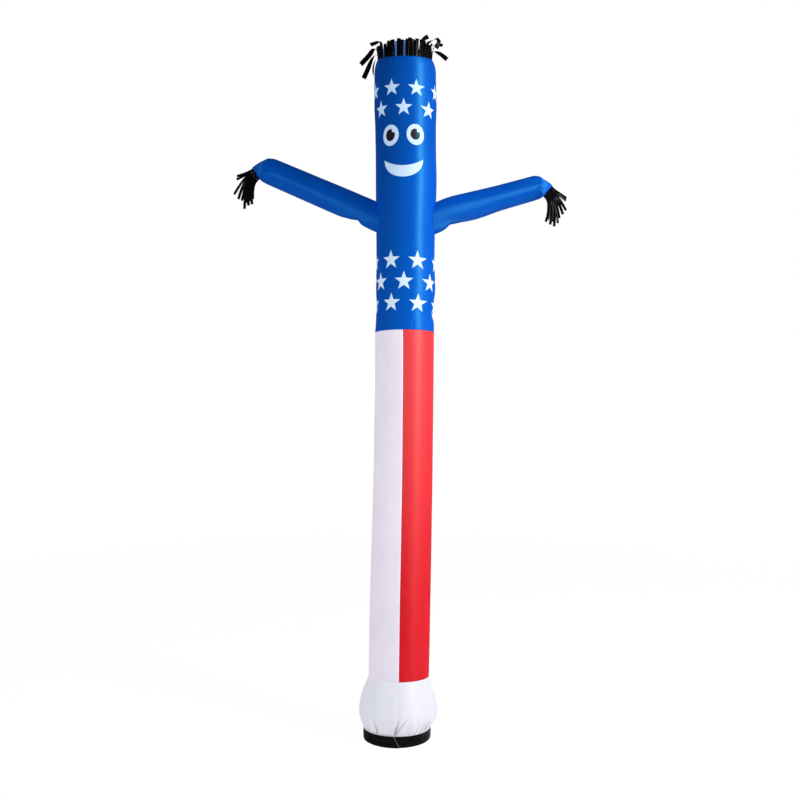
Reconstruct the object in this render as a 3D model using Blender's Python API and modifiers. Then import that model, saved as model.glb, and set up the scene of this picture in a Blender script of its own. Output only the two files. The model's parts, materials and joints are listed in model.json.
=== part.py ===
"""Inflatable air dancer, standing inflated on its base strap.

A tube of thin cloth, open at the foot for the blower's air and at the crown for
the vent. A blue upper sheet carries two sleeves, each closed flat at the hand.
Three lower panels, white and red, stand on a white gathered skirt whose hem is
held inside a black strap. Ribbon fringes stand in the crown and hang from the
hands.

Units are metres, +Z is up and the front faces -Y. The origin is on the floor,
under the middle of the whole dancer. An azimuth is an angle round the tube:
0 at the front, positive towards +X.
"""
import math
import random

import bmesh
import bpy
import numpy as np
from mathutils import Vector

# ---- Cloth ----
SHEET = 0.002               # thickness of every cloth wall and ribbon
GAP = 0.0003                # space between two pieces that are sewn together

# ---- The tube ----
WAIST = 1.811               # height of the seam between the blue sheet and the panels
SKIRT_SEAM = 0.277          # height of the seam between the panels and the skirt
RIM = 2.972                 # height of the crown's rim
TUBE_COLUMNS = 32           # facets round the tube

# Every ring of cloth tips up a little at the front: height, rise of its front.
RING_RISE = (
    (0.012, 0.000),
    (0.042, 0.009),
    (SKIRT_SEAM, 0.012),
    (WAIST, 0.018),
    (2.720, 0.018),
    (2.880, 0.012),
    (RIM, 0.000),
)

# The blue sheet, from the waist to the rim: height, sideways centre, radius.
BLUE_LEVELS = (
    (WAIST, 0.0200, 0.1289),
    (1.850, 0.0210, 0.1268),
    (1.884, 0.0198, 0.1247),
    (1.930, 0.0232, 0.1264),
    (2.023, 0.0247, 0.1291),
    (2.100, 0.0238, 0.1263),
    (2.190, 0.0240, 0.1266),
    (2.260, 0.0242, 0.1275),
    (2.360, 0.0258, 0.1300),
    (2.470, 0.0268, 0.1314),
    (2.580, 0.0253, 0.1303),
    (2.690, 0.0240, 0.1308),
    (2.776, 0.0235, 0.1338),
    (2.870, 0.0225, 0.1326),
    (2.911, 0.0224, 0.1322),
    (2.938, 0.0222, 0.1303),
    (2.957, 0.0216, 0.1257),
    (RIM, 0.0208, 0.1195),
)

# The lower panels, from the skirt to the waist: height, sideways centre, radius.
PANEL_LEVELS = (
    (SKIRT_SEAM, -0.0055, 0.1350),
    (0.450, -0.0024, 0.1354),
    (0.630, 0.0008, 0.1349),
    (0.800, 0.0050, 0.1336),
    (0.960, 0.0085, 0.1322),
    (1.170, 0.0129, 0.1307),
    (1.380, 0.0158, 0.1296),
    (1.600, 0.0186, 0.1287),
    (WAIST, 0.0200, 0.1285),
)

# The skirt, from its hem inside the strap to the panels: height, centre, radius,
# and how deep the gathers bite there, as a share of their full depth.
SKIRT_LEVELS = (
    (0.012, -0.0137, 0.1486, 0.00),
    (0.046, -0.0137, 0.1486, 0.05),
    (0.053, -0.0130, 0.1550, 0.55),
    (0.064, -0.0115, 0.1608, 1.00),
    (0.080, -0.0100, 0.1676, 0.85),
    (0.100, -0.0088, 0.1736, 0.45),
    (0.124, -0.0086, 0.1754, 0.15),
    (0.162, -0.0090, 0.1706, 0.00),
    (0.205, -0.0092, 0.1608, 0.00),
    (0.246, -0.0070, 0.1458, 0.00),
    (SKIRT_SEAM, -0.0055, 0.1350, 0.00),
)

# The gathers of the skirt: azimuth at the strap, half width and lean towards the
# top in degrees, depth in metres.
GATHERS = (
    (-156.0, 7.0, 3.0, 0.007),
    (-131.0, 6.0, -2.0, 0.005),
    (-106.0, 7.0, 2.0, 0.008),
    (-82.0, 6.0, -3.0, 0.005),
    (-57.0, 6.0, 2.0, 0.004),
    (-32.0, 5.0, -3.0, 0.008),
    (-4.0, 6.0, 5.0, 0.010),
    (13.0, 5.0, 5.0, 0.005),
    (38.0, 5.0, 3.0, 0.005),
    (53.0, 5.0, 1.0, 0.006),
    (78.0, 6.0, 2.0, 0.005),
    (103.0, 7.0, -3.0, 0.008),
    (128.0, 6.0, 2.0, 0.005),
    (153.0, 7.0, -2.0, 0.007),
    (178.0, 6.0, 2.0, 0.006),
)
GATHER_PUFF = 0.0015        # how far the cloth swells between two gathers

# ---- Seams between the panels: azimuth in degrees at the waist and at the skirt ----
FRONT_SEAM = (-3.2, 0.0)
SIDE_SEAM = (67.0, 67.0)
BACK_SEAM = (177.0, 177.0)

# ---- The base strap ----
STRAP_CENTRE = -0.0137      # sideways place of its ring
STRAP_RADIUS = 0.1515       # to its outer face
STRAP_HEIGHT = 0.042        # at the sides; it stands higher at the front
STRAP_TIP = 0.009           # how much higher
STRAP_STEP = 9.0            # degrees between two of its columns
STRAP_END = -4.5            # azimuth where the outer end's top corner lies
STRAP_OVERLAP = 7           # columns that lie double

# ---- The sleeves ----
# Each ring of a sleeve is given by its top and its underside, in the sleeve's own
# plane: reach along the sleeve from the tube, lift from its middle line. Then half
# its depth from front to back, and its roll: 0 is round, 1 is pressed flat into the
# hand seam, whose near end lies low and whose far end lies high.
#     top reach, top lift, under reach, under lift, half depth, roll
LEFT_SLEEVE = (
    (-0.060, 0.0615, -0.060, -0.0620, 0.0590, 0.00),
    (0.000, 0.0615, 0.000, -0.0615, 0.0595, 0.00),
    (0.046, 0.0612, 0.046, -0.0580, 0.0600, 0.00),
    (0.070, 0.0610, 0.070, -0.0480, 0.0610, 0.00),
    (0.098, 0.0610, 0.098, -0.0535, 0.0605, 0.00),
    (0.160, 0.0608, 0.160, -0.0605, 0.0595, 0.00),
    (0.310, 0.0590, 0.310, -0.0590, 0.0580, 0.00),
    (0.440, 0.0575, 0.440, -0.0575, 0.0580, 0.00),
    (0.492, 0.0570, 0.470, -0.0572, 0.0600, 0.05),
    (0.524, 0.0505, 0.492, -0.0570, 0.0630, 0.18),
    (0.549, 0.0330, 0.508, -0.0562, 0.0670, 0.42),
    (0.576, 0.0080, 0.512, -0.0553, 0.0730, 0.72),
    (0.589, -0.0115, 0.513, -0.0547, 0.0770, 0.94),
)
RIGHT_SLEEVE = (
    (-0.060, 0.0560, -0.060, -0.0760, 0.0600, 0.00),
    (0.000, 0.0565, 0.000, -0.0715, 0.0600, 0.00),
    (0.028, 0.0590, 0.028, -0.0640, 0.0600, 0.00),
    (0.055, 0.0618, 0.055, -0.0532, 0.0605, 0.00),
    (0.090, 0.0634, 0.090, -0.0545, 0.0600, 0.00),
    (0.165, 0.0600, 0.165, -0.0600, 0.0585, 0.00),
    (0.290, 0.0545, 0.290, -0.0530, 0.0560, 0.00),
    (0.400, 0.0525, 0.400, -0.0518, 0.0545, 0.00),
    (0.450, 0.0516, 0.422, -0.0516, 0.0555, 0.05),
    (0.477, 0.0440, 0.441, -0.0514, 0.0585, 0.18),
    (0.498, 0.0270, 0.454, -0.0508, 0.0620, 0.42),
    (0.522, 0.0075, 0.457, -0.0503, 0.0670, 0.72),
    (0.533, -0.0060, 0.458, -0.0498, 0.0700, 0.94),
)
# Side, sideways place and height where the middle line leaves the tube, slope in
# degrees, rings.
SLEEVES = {
    "left": (-1, -0.1014, 2.3127, 23.0, LEFT_SLEEVE),
    "right": (1, 0.1539, 2.3155, 15.7, RIGHT_SLEEVE),
}
SLEEVE_COLUMNS = 20
BORE_START = -0.115         # the sleeve's hollow runs this far into the tube

# ---- The crown's fringe: two rows of black ribbons and a few blue ones inside ----
OUTER_ROW = 0.1165          # radius to the outer face of each row's strip
INNER_ROW = 0.1141
BLUE_ROW = 0.1112
FRINGE_STRIP = 0.024        # height of a strip, hidden inside the rim
FRINGE_FOOT = 2.974         # height where the ribbons leave their strips
CROWN_RIBBON = 6.8          # degrees that a crown ribbon is wide
CROWN_PITCH = 8.2           # fewest degrees between two ribbons of a row
CROWN_PUSH = 0.0012         # how far a ribbon leans towards its neighbour at most
# Where both rows part and leave a slit: azimuth, half width in degrees.
PARTINGS = (
    (-49.4, 1.6),
    (-19.3, 1.7),
    (-1.4, 1.7),
    (29.6, 0.9),
    (54.5, 0.8),
    (70.0, 0.8),
    (110.0, 0.8),
    (125.5, 0.8),
    (150.4, 1.1),
)
# How high the ribbons stand round the crown: azimuth, height.
CROWN_CREST = (
    (-50.0, 0.047),
    (-38.0, 0.054),
    (-22.0, 0.068),
    (-10.0, 0.062),
    (6.0, 0.066),
    (30.0, 0.064),
    (60.0, 0.056),
    (100.0, 0.052),
    (140.0, 0.060),
    (180.0, 0.062),
    (240.0, 0.056),
    (280.0, 0.046),
    (310.0, 0.047),
)
# Ribbons of the outer row that bend over the rim: azimuth of the root, then their
# points as sideways, deep and up from the root, and how far they have turned there.
STRAYS = (
    (248.0, ((0.000, 0.001, 0.016, 0), (-0.012, 0.004, 0.021, 10), (-0.028, 0.008, 0.000, 30),
             (-0.032, 0.012, -0.030, 35), (-0.029, 0.013, -0.058, 10))),
    (263.0, ((0.000, 0.000, 0.020, 0), (-0.008, 0.000, 0.030, 5), (-0.026, 0.003, 0.012, 40),
             (-0.046, 0.006, -0.033, 85), (-0.063, 0.008, -0.069, 95))),
    (281.0, ((-0.003, -0.001, 0.024, 0), (-0.007, -0.003, 0.048, 0), (-0.018, -0.006, 0.045, 25),
             (-0.036, -0.010, 0.020, 80), (-0.074, -0.014, -0.021, 95))),
    (301.0, ((-0.002, -0.002, 0.030, 0), (-0.005, -0.004, 0.060, 0), (-0.012, -0.008, 0.067, 20),
             (-0.026, -0.012, 0.060, 45), (-0.049, -0.018, 0.050, 60))),
    (38.0, ((0.003, -0.006, 0.030, 0), (0.009, -0.014, 0.060, 0), (0.020, -0.020, 0.071, 10),
            (0.033, -0.026, 0.0755, 25))),
    (47.0, ((0.002, -0.003, 0.030, 0), (0.007, -0.009, 0.056, 0), (0.024, -0.014, 0.066, -20),
            (0.045, -0.018, 0.074, -50), (0.054, -0.018, 0.062, -60), (0.042, -0.018, 0.034, -60))),
    (62.0, ((0.004, -0.002, 0.028, 0), (0.010, -0.005, 0.050, 0), (0.032, -0.010, 0.053, -40),
            (0.061, -0.014, 0.050, -60))),
    (78.0, ((0.003, -0.001, 0.020, 0), (0.009, -0.002, 0.034, -10), (0.034, -0.003, 0.025, -60),
            (0.069, -0.004, -0.001, -80))),
)
# The blue ribbons behind the partings: azimuth, height.
BLUE_RIBBONS = ((-56.4, 0.042), (-37.0, 0.044), (-21.3, 0.060), (-1.5, 0.062))

# ---- The hands' fringes ----
HAND_STRIP = 0.012          # depth of the strip sewn into the hand seam
HAND_STRIP_SHARE = 0.90     # of the seam that the strip takes up
HAND_ROOT_SHARE = 0.84      # of its place that a ribbon's root takes up
HAND_RIBBON = 0.0092        # width of a hanging ribbon
HAND_STEPS = 4              # straight lengths in a hanging ribbon
# The ribbons from the far end of the seam to the near end: how far each tip lies
# outwards, how far down, how far deeper than its root, and its turn in degrees.
LEFT_TIPS = (
    (0.097, 0.001, 0.030, 50),
    (0.094, 0.018, 0.012, 60),
    (0.105, 0.083, 0.020, 75),
    (0.082, 0.090, 0.012, 45),
    (0.083, 0.106, 0.010, 80),
    (0.062, 0.104, 0.006, 60),
    (0.064, 0.115, 0.004, 95),
    (0.052, 0.136, 0.000, 50),
    (0.050, 0.152, -0.002, 85),
    (0.036, 0.128, -0.006, 65),
    (0.029, 0.140, -0.010, 90),
    (0.018, 0.122, -0.014, 55),
    (0.010, 0.137, -0.018, 85),
    (0.004, 0.116, -0.024, 60),
)
RIGHT_TIPS = (
    (0.094, 0.022, 0.028, -50),
    (0.089, 0.035, 0.016, -60),
    (0.089, 0.078, 0.020, -75),
    (0.070, 0.082, 0.012, -45),
    (0.072, 0.097, 0.010, -80),
    (0.050, 0.100, 0.006, -60),
    (0.053, 0.115, 0.003, -90),
    (0.045, 0.138, 0.000, -50),
    (0.028, 0.152, -0.002, -85),
    (0.016, 0.132, -0.006, -65),
    (0.007, 0.146, -0.010, -90),
    (-0.004, 0.126, -0.014, -55),
    (-0.015, 0.136, -0.020, -85),
    (-0.010, 0.112, -0.026, -60),
)
HAND_TIPS = {"left": LEFT_TIPS, "right": RIGHT_TIPS}

# ---- Colours: red, green, blue, roughness ----
BLUE = (0.010, 0.075, 0.420, 0.38)
WHITE = (0.760, 0.730, 0.820, 0.45)
RED = (0.720, 0.012, 0.022, 0.40)
BLACK = (0.006, 0.006, 0.007, 0.35)


# ---------------------------------------------------------------- helpers

def start_collections():
    """Clear the scene and make one collection for the parts, one for the cutters."""
    for thing in list(bpy.data.objects):
        bpy.data.objects.remove(thing, do_unlink=True)
    made = []
    for name in ("air_dancer", "cutters"):
        group = bpy.data.collections.new(name)
        bpy.context.scene.collection.children.link(group)
        made.append(group)
    return made


def cloth_material(name, colour):
    material = bpy.data.materials.new(name)
    material.use_nodes = True
    shader = material.node_tree.nodes["Principled BSDF"]
    shader.inputs["Base Color"].default_value = (*colour[:3], 1.0)
    shader.inputs["Roughness"].default_value = colour[3]
    shader.inputs["Metallic"].default_value = 0.0
    return material


def add_object(name, bm, group, material=None):
    """Put a bmesh into a collection as a smooth-shaded object."""
    mesh = bpy.data.meshes.new(name)
    bm.to_mesh(mesh)
    bm.free()
    mesh.shade_smooth()
    mesh.set_sharp_from_angle(angle=math.radians(40.0))
    thing = bpy.data.objects.new(name, mesh)
    if material:
        mesh.materials.append(material)
    else:
        thing.hide_render = True
        thing.display_type = "WIRE"
    group.objects.link(thing)
    return thing


def column(table, height, index):
    """Read one column of a table of levels at any height."""
    return float(np.interp(height, [row[0] for row in table], [row[index] for row in table]))


def tube_point(levels, height, azimuth, grow=0.0):
    """A point on the tube's outer face."""
    radius = column(levels, height, 2) + grow
    sideways = column(levels, height, 1) + radius * math.sin(azimuth)
    rise = column(RING_RISE, height, 1)
    return Vector((sideways, -radius * math.cos(azimuth), height + rise * math.cos(azimuth)))


def grid_sheet(columns, rows, place, closed=False):
    """A sheet of columns by rows faces; place(i, j) gives its point at column i, row j."""
    bm = bmesh.new()
    bmesh.ops.create_grid(bm, x_segments=columns, y_segments=rows, size=0.5)
    for vert in bm.verts:
        i = round((vert.co.x + 0.5) * columns)
        j = round((vert.co.y + 0.5) * rows)
        vert.co = place(i, j)
    if closed:
        bmesh.ops.remove_doubles(bm, verts=bm.verts, dist=0.00002)
    return bm


def thicken(thing):
    """Give an open sheet its cloth thickness, on its inner side."""
    shell = thing.modifiers.new("thickness", "SOLIDIFY")
    shell.thickness = SHEET
    shell.offset = -1.0
    shell.use_even_offset = True


def cut(thing, cutter):
    """Cut one solid out of another."""
    step = thing.modifiers.new("cut_" + cutter.name, "BOOLEAN")
    step.operation = "DIFFERENCE"
    step.solver = "EXACT"
    step.object = cutter


def loft(rings):
    """A closed tube through rings of points, capped at both ends."""
    bm = bmesh.new()
    loops = [[bm.verts.new(point) for point in ring] for ring in rings]
    count = len(rings[0])
    for low, high in zip(loops, loops[1:]):
        for i in range(count):
            j = (i + 1) % count
            bm.faces.new((low[i], low[j], high[j], high[i]))
    bm.faces.new(loops[0])
    bm.faces.new(loops[-1])
    bmesh.ops.recalc_face_normals(bm, faces=bm.faces)
    return bm


# ---------------------------------------------------------------- the tube

def build_blue(group, material, bores):
    """The blue sheet, with the two armholes cut to the sleeves' hollows."""
    heights = [row[0] for row in BLUE_LEVELS]
    heights[0] += GAP / 2

    def place(i, j):
        return tube_point(BLUE_LEVELS, heights[j], math.tau * i / TUBE_COLUMNS)

    bm = grid_sheet(TUBE_COLUMNS, len(heights) - 1, place, closed=True)
    body = add_object("body_blue", bm, group, material)
    thicken(body)
    for bore in bores:
        cut(body, bore)


def build_core(cutters):
    """The space inside the blue sheet and its seam gap, which trims the sleeves' roots."""
    rings = []
    for height in [row[0] for row in BLUE_LEVELS if 2.0 < row[0] < 2.7]:
        ring = []
        for i in range(TUBE_COLUMNS):
            ring.append(tube_point(BLUE_LEVELS, height, math.tau * i / TUBE_COLUMNS, GAP))
        rings.append(ring)
    return add_object("core", loft(rings), cutters)


def build_panel(name, group, material, left_seam, right_seam, columns):
    """A lower panel between two seams, each given by its azimuth at the waist and below."""
    heights = [row[0] for row in PANEL_LEVELS]
    heights[0] += GAP / 2
    heights[-1] -= GAP / 2

    def seam_azimuth(seam, height):
        share = (height - SKIRT_SEAM) / (WAIST - SKIRT_SEAM)
        return math.radians(seam[1] + (seam[0] - seam[1]) * share)

    def place(i, j):
        height = heights[j]
        low = seam_azimuth(left_seam, height)
        high = seam_azimuth(right_seam, height)
        # The wall's end leans outwards by half a facet's angle.
        lean = SHEET * math.tan((high - low) / columns / 2)
        half_gap = (GAP / 2 + lean) / column(PANEL_LEVELS, height, 2)
        low += half_gap
        high -= half_gap
        return tube_point(PANEL_LEVELS, height, low + (high - low) * i / columns)

    panel = add_object(name, grid_sheet(columns, len(heights) - 1, place), group, material)
    thicken(panel)


# ---------------------------------------------------------------- skirt and strap

def skirt_columns():
    """The skirt's columns: azimuth, lean to the top, and how far in or out each one lies."""
    made = []
    for k, (azimuth, half_width, lean, depth) in enumerate(GATHERS):
        following = GATHERS[(k + 1) % len(GATHERS)]
        next_start = following[0] - following[1] + (360.0 if k + 1 == len(GATHERS) else 0.0)
        own_end = azimuth + half_width
        made.append((azimuth - half_width, lean, 0.0))
        made.append((azimuth, lean, -depth))
        made.append((own_end, lean, 0.0))
        made.append(((own_end + next_start) / 2, (lean + following[2]) / 2, GATHER_PUFF))
    return made


def build_skirt(group, material):
    """The white bulb: it swells out over the strap and its hem is gathered inside it."""
    stations = skirt_columns()
    heights = [row[0] for row in SKIRT_LEVELS]
    heights[-1] -= GAP / 2
    top = SKIRT_LEVELS[-1][0]

    def place(i, j):
        azimuth, lean, bite = stations[i % len(stations)]
        height = heights[j]
        fullness = column(SKIRT_LEVELS, height, 3)
        fade = (height - SKIRT_LEVELS[1][0]) / (top - SKIRT_LEVELS[1][0])
        turned = math.radians(azimuth + lean * math.sin(math.pi * max(0.0, fade)))
        return tube_point(SKIRT_LEVELS, height, turned, bite * fullness)

    bm = grid_sheet(len(stations), len(heights) - 1, place, closed=True)
    skirt = add_object("base_skirt", bm, group, material)
    thicken(skirt)


def build_strap(group, material):
    """The black strap: one turn and an overlap, its outer end cut on the slant."""
    turn = round(360.0 / STRAP_STEP)
    columns = turn + STRAP_OVERLAP + 1
    start = STRAP_END - STRAP_OVERLAP * STRAP_STEP
    layer = SHEET + GAP

    def place(i, j):
        slanted_end = i == columns and j == 1
        steps = i - 1 if slanted_end else i
        azimuth = math.radians(start + steps * STRAP_STEP)
        radius = STRAP_RADIUS + layer * min(1.0, max(0.0, (steps - turn + 2) / 2))
        height = (STRAP_HEIGHT + STRAP_TIP * math.cos(azimuth)) if j else 0.0
        sideways = STRAP_CENTRE + radius * math.sin(azimuth)
        return Vector((sideways, -radius * math.cos(azimuth), height))

    bm = grid_sheet(columns, 1, place, closed=True)
    strap = add_object("base_band", bm, group, material)
    thicken(strap)


# ---------------------------------------------------------------- the sleeves

def sleeve_frame(side_name):
    """Where a sleeve's middle line starts, its direction, and its own upward direction."""
    side, sideways, height, slope, _rings = SLEEVES[side_name]
    angle = math.radians(slope)
    start = Vector((sideways, 0.0, height))
    along = Vector((side * math.cos(angle), 0.0, math.sin(angle)))
    upward = Vector((-side * math.sin(angle), 0.0, math.cos(angle)))
    return start, along, upward


def sleeve_ring(side_name, row, inset):
    """One ring of a sleeve; inset is the thickness to take off inside."""
    start, along, upward = sleeve_frame(side_name)
    top_reach, top_lift, under_reach, under_lift, half_depth, roll = row
    top = start + along * top_reach + upward * top_lift
    under = start + along * under_reach + upward * under_lift
    middle = start + along * (top_reach + under_reach) / 2
    spread = math.hypot(1.0 - roll, roll)
    take = inset * spread / (1.0 - roll)
    ring = []
    for i in range(SLEEVE_COLUMNS):
        turn = math.tau * i / SLEEVE_COLUMNS
        share = (math.sin(turn) * (1.0 - roll) - math.cos(turn) * roll) / spread
        edge = top if share > 0.0 else under
        centre = middle.lerp((top + under) / 2, roll)
        arm = edge - centre
        reach = arm * abs(share) * (1.0 - take / arm.length)
        deep = Vector((0.0, -1.0, 0.0)) * math.cos(turn) * (half_depth - take)
        ring.append(centre + reach + deep)
    return ring


def build_bore(side_name, cutters):
    """The hollow of a sleeve, from inside the tube to just short of the hand seam."""
    rows = list(SLEEVES[side_name][4])
    first = rows[0]
    rows[0] = (BORE_START, first[1], BORE_START, first[3], first[4], first[5])
    rings = [sleeve_ring(side_name, row, SHEET) for row in rows[:-1]]
    return add_object("bore_" + side_name, loft(rings), cutters)


def build_sleeve(side_name, group, material, bore, core):
    """A sleeve: its outer form, hollowed, with its root fitted to the tube."""
    rings = [sleeve_ring(side_name, row, 0.0) for row in SLEEVES[side_name][4]]
    sleeve = add_object("sleeve_" + side_name, loft(rings), group, material)
    cut(sleeve, bore)
    cut(sleeve, core)


# ---------------------------------------------------------------- fringes

def grow_ribbon(bm, face, points, turns, width):
    """Pull one face of a strip out along points into a flat ribbon.

    turns gives how many degrees the ribbon has turned about itself at each point."""
    here = face.calc_center_median()
    edges = sorted(face.edges, key=lambda edge: -edge.calc_length())
    across = (edges[0].verts[1].co - edges[0].verts[0].co).normalized()
    through = (edges[-1].verts[1].co - edges[-1].verts[0].co).normalized()
    signs = []
    for vert in face.verts:
        offset = vert.co - here
        signs.append((math.copysign(0.5, offset.dot(across)),
                      math.copysign(0.5, offset.dot(through))))
    path = [here] + list(points)
    for k in range(1, len(path)):
        along = (path[k] - path[k - 1]).normalized()
        if k + 1 < len(path):
            along = (along + (path[k + 1] - path[k]).normalized()).normalized()
        across = (across - along * across.dot(along)).normalized()
        square = along.cross(across)
        if square.dot(through) < 0.0:
            square = -square
        through = square
        turn = math.radians(turns[k - 1])
        wide = across * math.cos(turn) + through * math.sin(turn)
        thick = through * math.cos(turn) - across * math.sin(turn)
        face = bmesh.ops.extrude_discrete_faces(bm, faces=[face])["faces"][0]
        for vert, (side, level) in zip(face.verts, signs):
            vert.co = path[k] + wide * side * width + thick * level * SHEET


def fringe_strip(stations, foot, lift, closed):
    """A fringe's strip as a bmesh, and the top face that each ribbon grows from.

    The stations pair up as the two edges of each ribbon. foot(station, side) gives
    a point of the strip's lower edge, side 0 or 1 across its thickness, and lift is
    the strip's own height as a vector."""
    columns = len(stations) if closed else len(stations) - 1

    def place(i, j):
        return foot(stations[i % len(stations)], j)

    bm = grid_sheet(columns, 1, place, closed=closed)
    grown = bmesh.ops.extrude_face_region(bm, geom=bm.faces[:])["geom"]
    tops = [item for item in grown if isinstance(item, bmesh.types.BMFace)]
    for vert in {vert for face in tops for vert in face.verts}:
        vert.co += lift
    bmesh.ops.recalc_face_normals(bm, faces=bm.faces)
    roots = []
    for low, high in zip(stations[::2], stations[1::2]):
        corners = [foot(station, side) for station in (low, high) for side in (0, 1)]
        middle = sum(corners, Vector()) / 4 + lift
        roots.append(min(tops, key=lambda face: (face.calc_center_median() - middle).length))
    return bm, roots


def crown_rows():
    """The azimuths of the outer and the inner row's ribbons, between the partings."""
    outer = []
    inner = []
    ends = PARTINGS + ((PARTINGS[0][0] + 360.0, PARTINGS[0][1]),)
    for low, high in zip(ends, ends[1:]):
        first = low[0] + low[1] + CROWN_RIBBON / 2
        last = high[0] - high[1] - CROWN_RIBBON / 2
        count = math.floor((last - first) / CROWN_PITCH) + 1
        if count == 1:
            outer.append((first + last) / 2)
            inner.append((first + last) / 2)
            continue
        step = (last - first) / (count - 1)
        outer.extend(first + step * k for k in range(count))
        inner.extend(first + step * (k + 0.5) for k in range(count - 1))
    return outer, inner


def crown_directions(azimuth):
    """Outwards and round the crown, at an azimuth."""
    angle = math.radians(azimuth)
    outward = Vector((math.sin(angle), -math.cos(angle), 0.0))
    round_way = Vector((math.cos(angle), math.sin(angle), 0.0))
    return outward, round_way


def standing_ribbon(rng, azimuth, lean):
    """A ribbon that stands up in the crown: its points from the root, and its turns."""
    outward, round_way = crown_directions(azimuth)
    height = float(np.interp(azimuth, *zip(*CROWN_CREST))) + rng.uniform(-0.007, 0.004)
    push = round_way * rng.uniform(-CROWN_PUSH, CROWN_PUSH)
    nod = rng.uniform(0.9, 1.7)
    points = []
    for rise, out in ((0.25, 0.30), (0.62, 0.60), (0.92, 0.90), (1.00, nod)):
        points.append(outward * lean * out + push * rise + Vector((0.0, 0.0, height * rise)))
    return points, [0.0] * len(points)


def build_crown_row(name, group, material, radius, azimuths, ribbon, closed):
    """One row of the crown's fringe; ribbon(azimuth) gives a ribbon's points and turns."""
    centre = BLUE_LEVELS[-1][1]
    stations = []
    for azimuth in azimuths:
        stations.extend((azimuth - CROWN_RIBBON / 2, azimuth + CROWN_RIBBON / 2))

    def foot(station, side):
        outward, _round_way = crown_directions(station)
        low = Vector((centre, 0.0, FRINGE_FOOT - FRINGE_STRIP))
        return low + outward * (radius - SHEET * (1 - side))

    bm, roots = fringe_strip(stations, foot, Vector((0.0, 0.0, FRINGE_STRIP)), closed)
    width = math.radians(CROWN_RIBBON) * radius
    for azimuth, face in zip(azimuths, roots):
        root = face.calc_center_median()
        offsets, turns = ribbon(azimuth)
        grow_ribbon(bm, face, [root + offset for offset in offsets], turns, width)
    add_object(name, bm, group, material)


def build_crown_fringe(group, black, blue):
    """The two black rows inside the rim, and the short blue row behind them."""
    outer, inner = crown_rows()
    rng = random.Random(7)
    strays = {}
    for azimuth, rows in STRAYS:
        nearest = min(outer, key=lambda place: abs(place - azimuth))
        strays[nearest] = ([Vector(row[:3]) for row in rows], [row[3] for row in rows])

    def outer_ribbon(azimuth):
        if azimuth in strays:
            return strays[azimuth]
        return standing_ribbon(rng, azimuth, rng.uniform(0.003, 0.007))

    def inner_ribbon(azimuth):
        return standing_ribbon(rng, azimuth, -rng.uniform(0.0005, 0.0020))

    def blue_ribbon(azimuth):
        outward, _round_way = crown_directions(azimuth)
        height = dict(BLUE_RIBBONS)[azimuth]
        up = Vector((0.0, 0.0, height))
        points = [up * rise - outward * lean for rise, lean in ((0.3, 0.0035), (1.0, 0.0080))]
        return points, [0.0, 0.0]

    build_crown_row("head_fringe_outer", group, black, OUTER_ROW, outer, outer_ribbon, True)
    build_crown_row("head_fringe_inner", group, black, INNER_ROW, inner, inner_ribbon, True)
    places = [azimuth for azimuth, _height in BLUE_RIBBONS]
    build_crown_row("head_fringe_blue", group, blue, BLUE_ROW, places, blue_ribbon, False)


def build_hand_fringe(side_name, group, material):
    """The fringe of a hand: a strip along the hand seam, its ribbons hanging down."""
    last = SLEEVES[side_name][4][-1]
    side = SLEEVES[side_name][0]
    start, along, upward = sleeve_frame(side_name)
    far = start + along * last[0] + upward * last[1] + Vector((0.0, last[4], 0.0))
    near = start + along * last[2] + upward * last[3] - Vector((0.0, last[4], 0.0))
    seam = near - far
    outward = Vector((seam.z, 0.0, -seam.x)).normalized()
    if outward.x * side < 0.0:
        outward = -outward
    through = seam.normalized().cross(outward)
    tips = HAND_TIPS[side_name]
    pitch = HAND_STRIP_SHARE / len(tips)
    stations = []
    for k in range(len(tips)):
        middle = 0.5 + (k + 0.5 - len(tips) / 2) * pitch
        half = pitch * HAND_ROOT_SHARE / 2
        stations.extend((middle - half, middle + half))

    def foot(station, edge):
        return far + seam * station + outward * GAP + through * SHEET * (edge - 0.5)

    bm, roots = fringe_strip(stations, foot, outward * HAND_STRIP, closed=False)
    seam_middle = (far + near) / 2
    for (out, down, deeper, turn), face in zip(tips, roots):
        root = face.calc_center_median()
        tip = Vector((seam_middle.x + side * out, root.y + deeper, seam_middle.z - down))
        bend = root + outward * (tip - root).length * 0.35
        points = []
        turns = []
        for step in range(1, HAND_STEPS + 1):
            t = step / HAND_STEPS
            points.append(root * (1 - t) ** 2 + bend * 2 * t * (1 - t) + tip * t ** 2)
            turns.append(turn * min(1.0, 1.5 * t))
        grow_ribbon(bm, face, points, turns, HAND_RIBBON)
    add_object("hand_fringe_" + side_name, bm, group, material)


# ---------------------------------------------------------------- the whole dancer

def main():
    group, cutters = start_collections()
    blue = cloth_material("blue_cloth", BLUE)
    white = cloth_material("white_cloth", WHITE)
    red = cloth_material("red_cloth", RED)
    black = cloth_material("black_ribbon", BLACK)

    core = build_core(cutters)
    bores = {name: build_bore(name, cutters) for name in SLEEVES}
    build_blue(group, blue, bores.values())
    for name in SLEEVES:
        build_sleeve(name, group, blue, bores[name], core)

    white_left = (BACK_SEAM[0] - 360.0, BACK_SEAM[1] - 360.0)
    build_panel("panel_white", group, white, white_left, FRONT_SEAM, 16)
    build_panel("panel_red_front", group, red, FRONT_SEAM, SIDE_SEAM, 6)
    build_panel("panel_red_side", group, red, SIDE_SEAM, BACK_SEAM, 10)
    build_skirt(group, white)
    build_strap(group, black)

    build_crown_fringe(group, black, blue)
    for name in SLEEVES:
        build_hand_fringe(name, group, black)


main()
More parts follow.
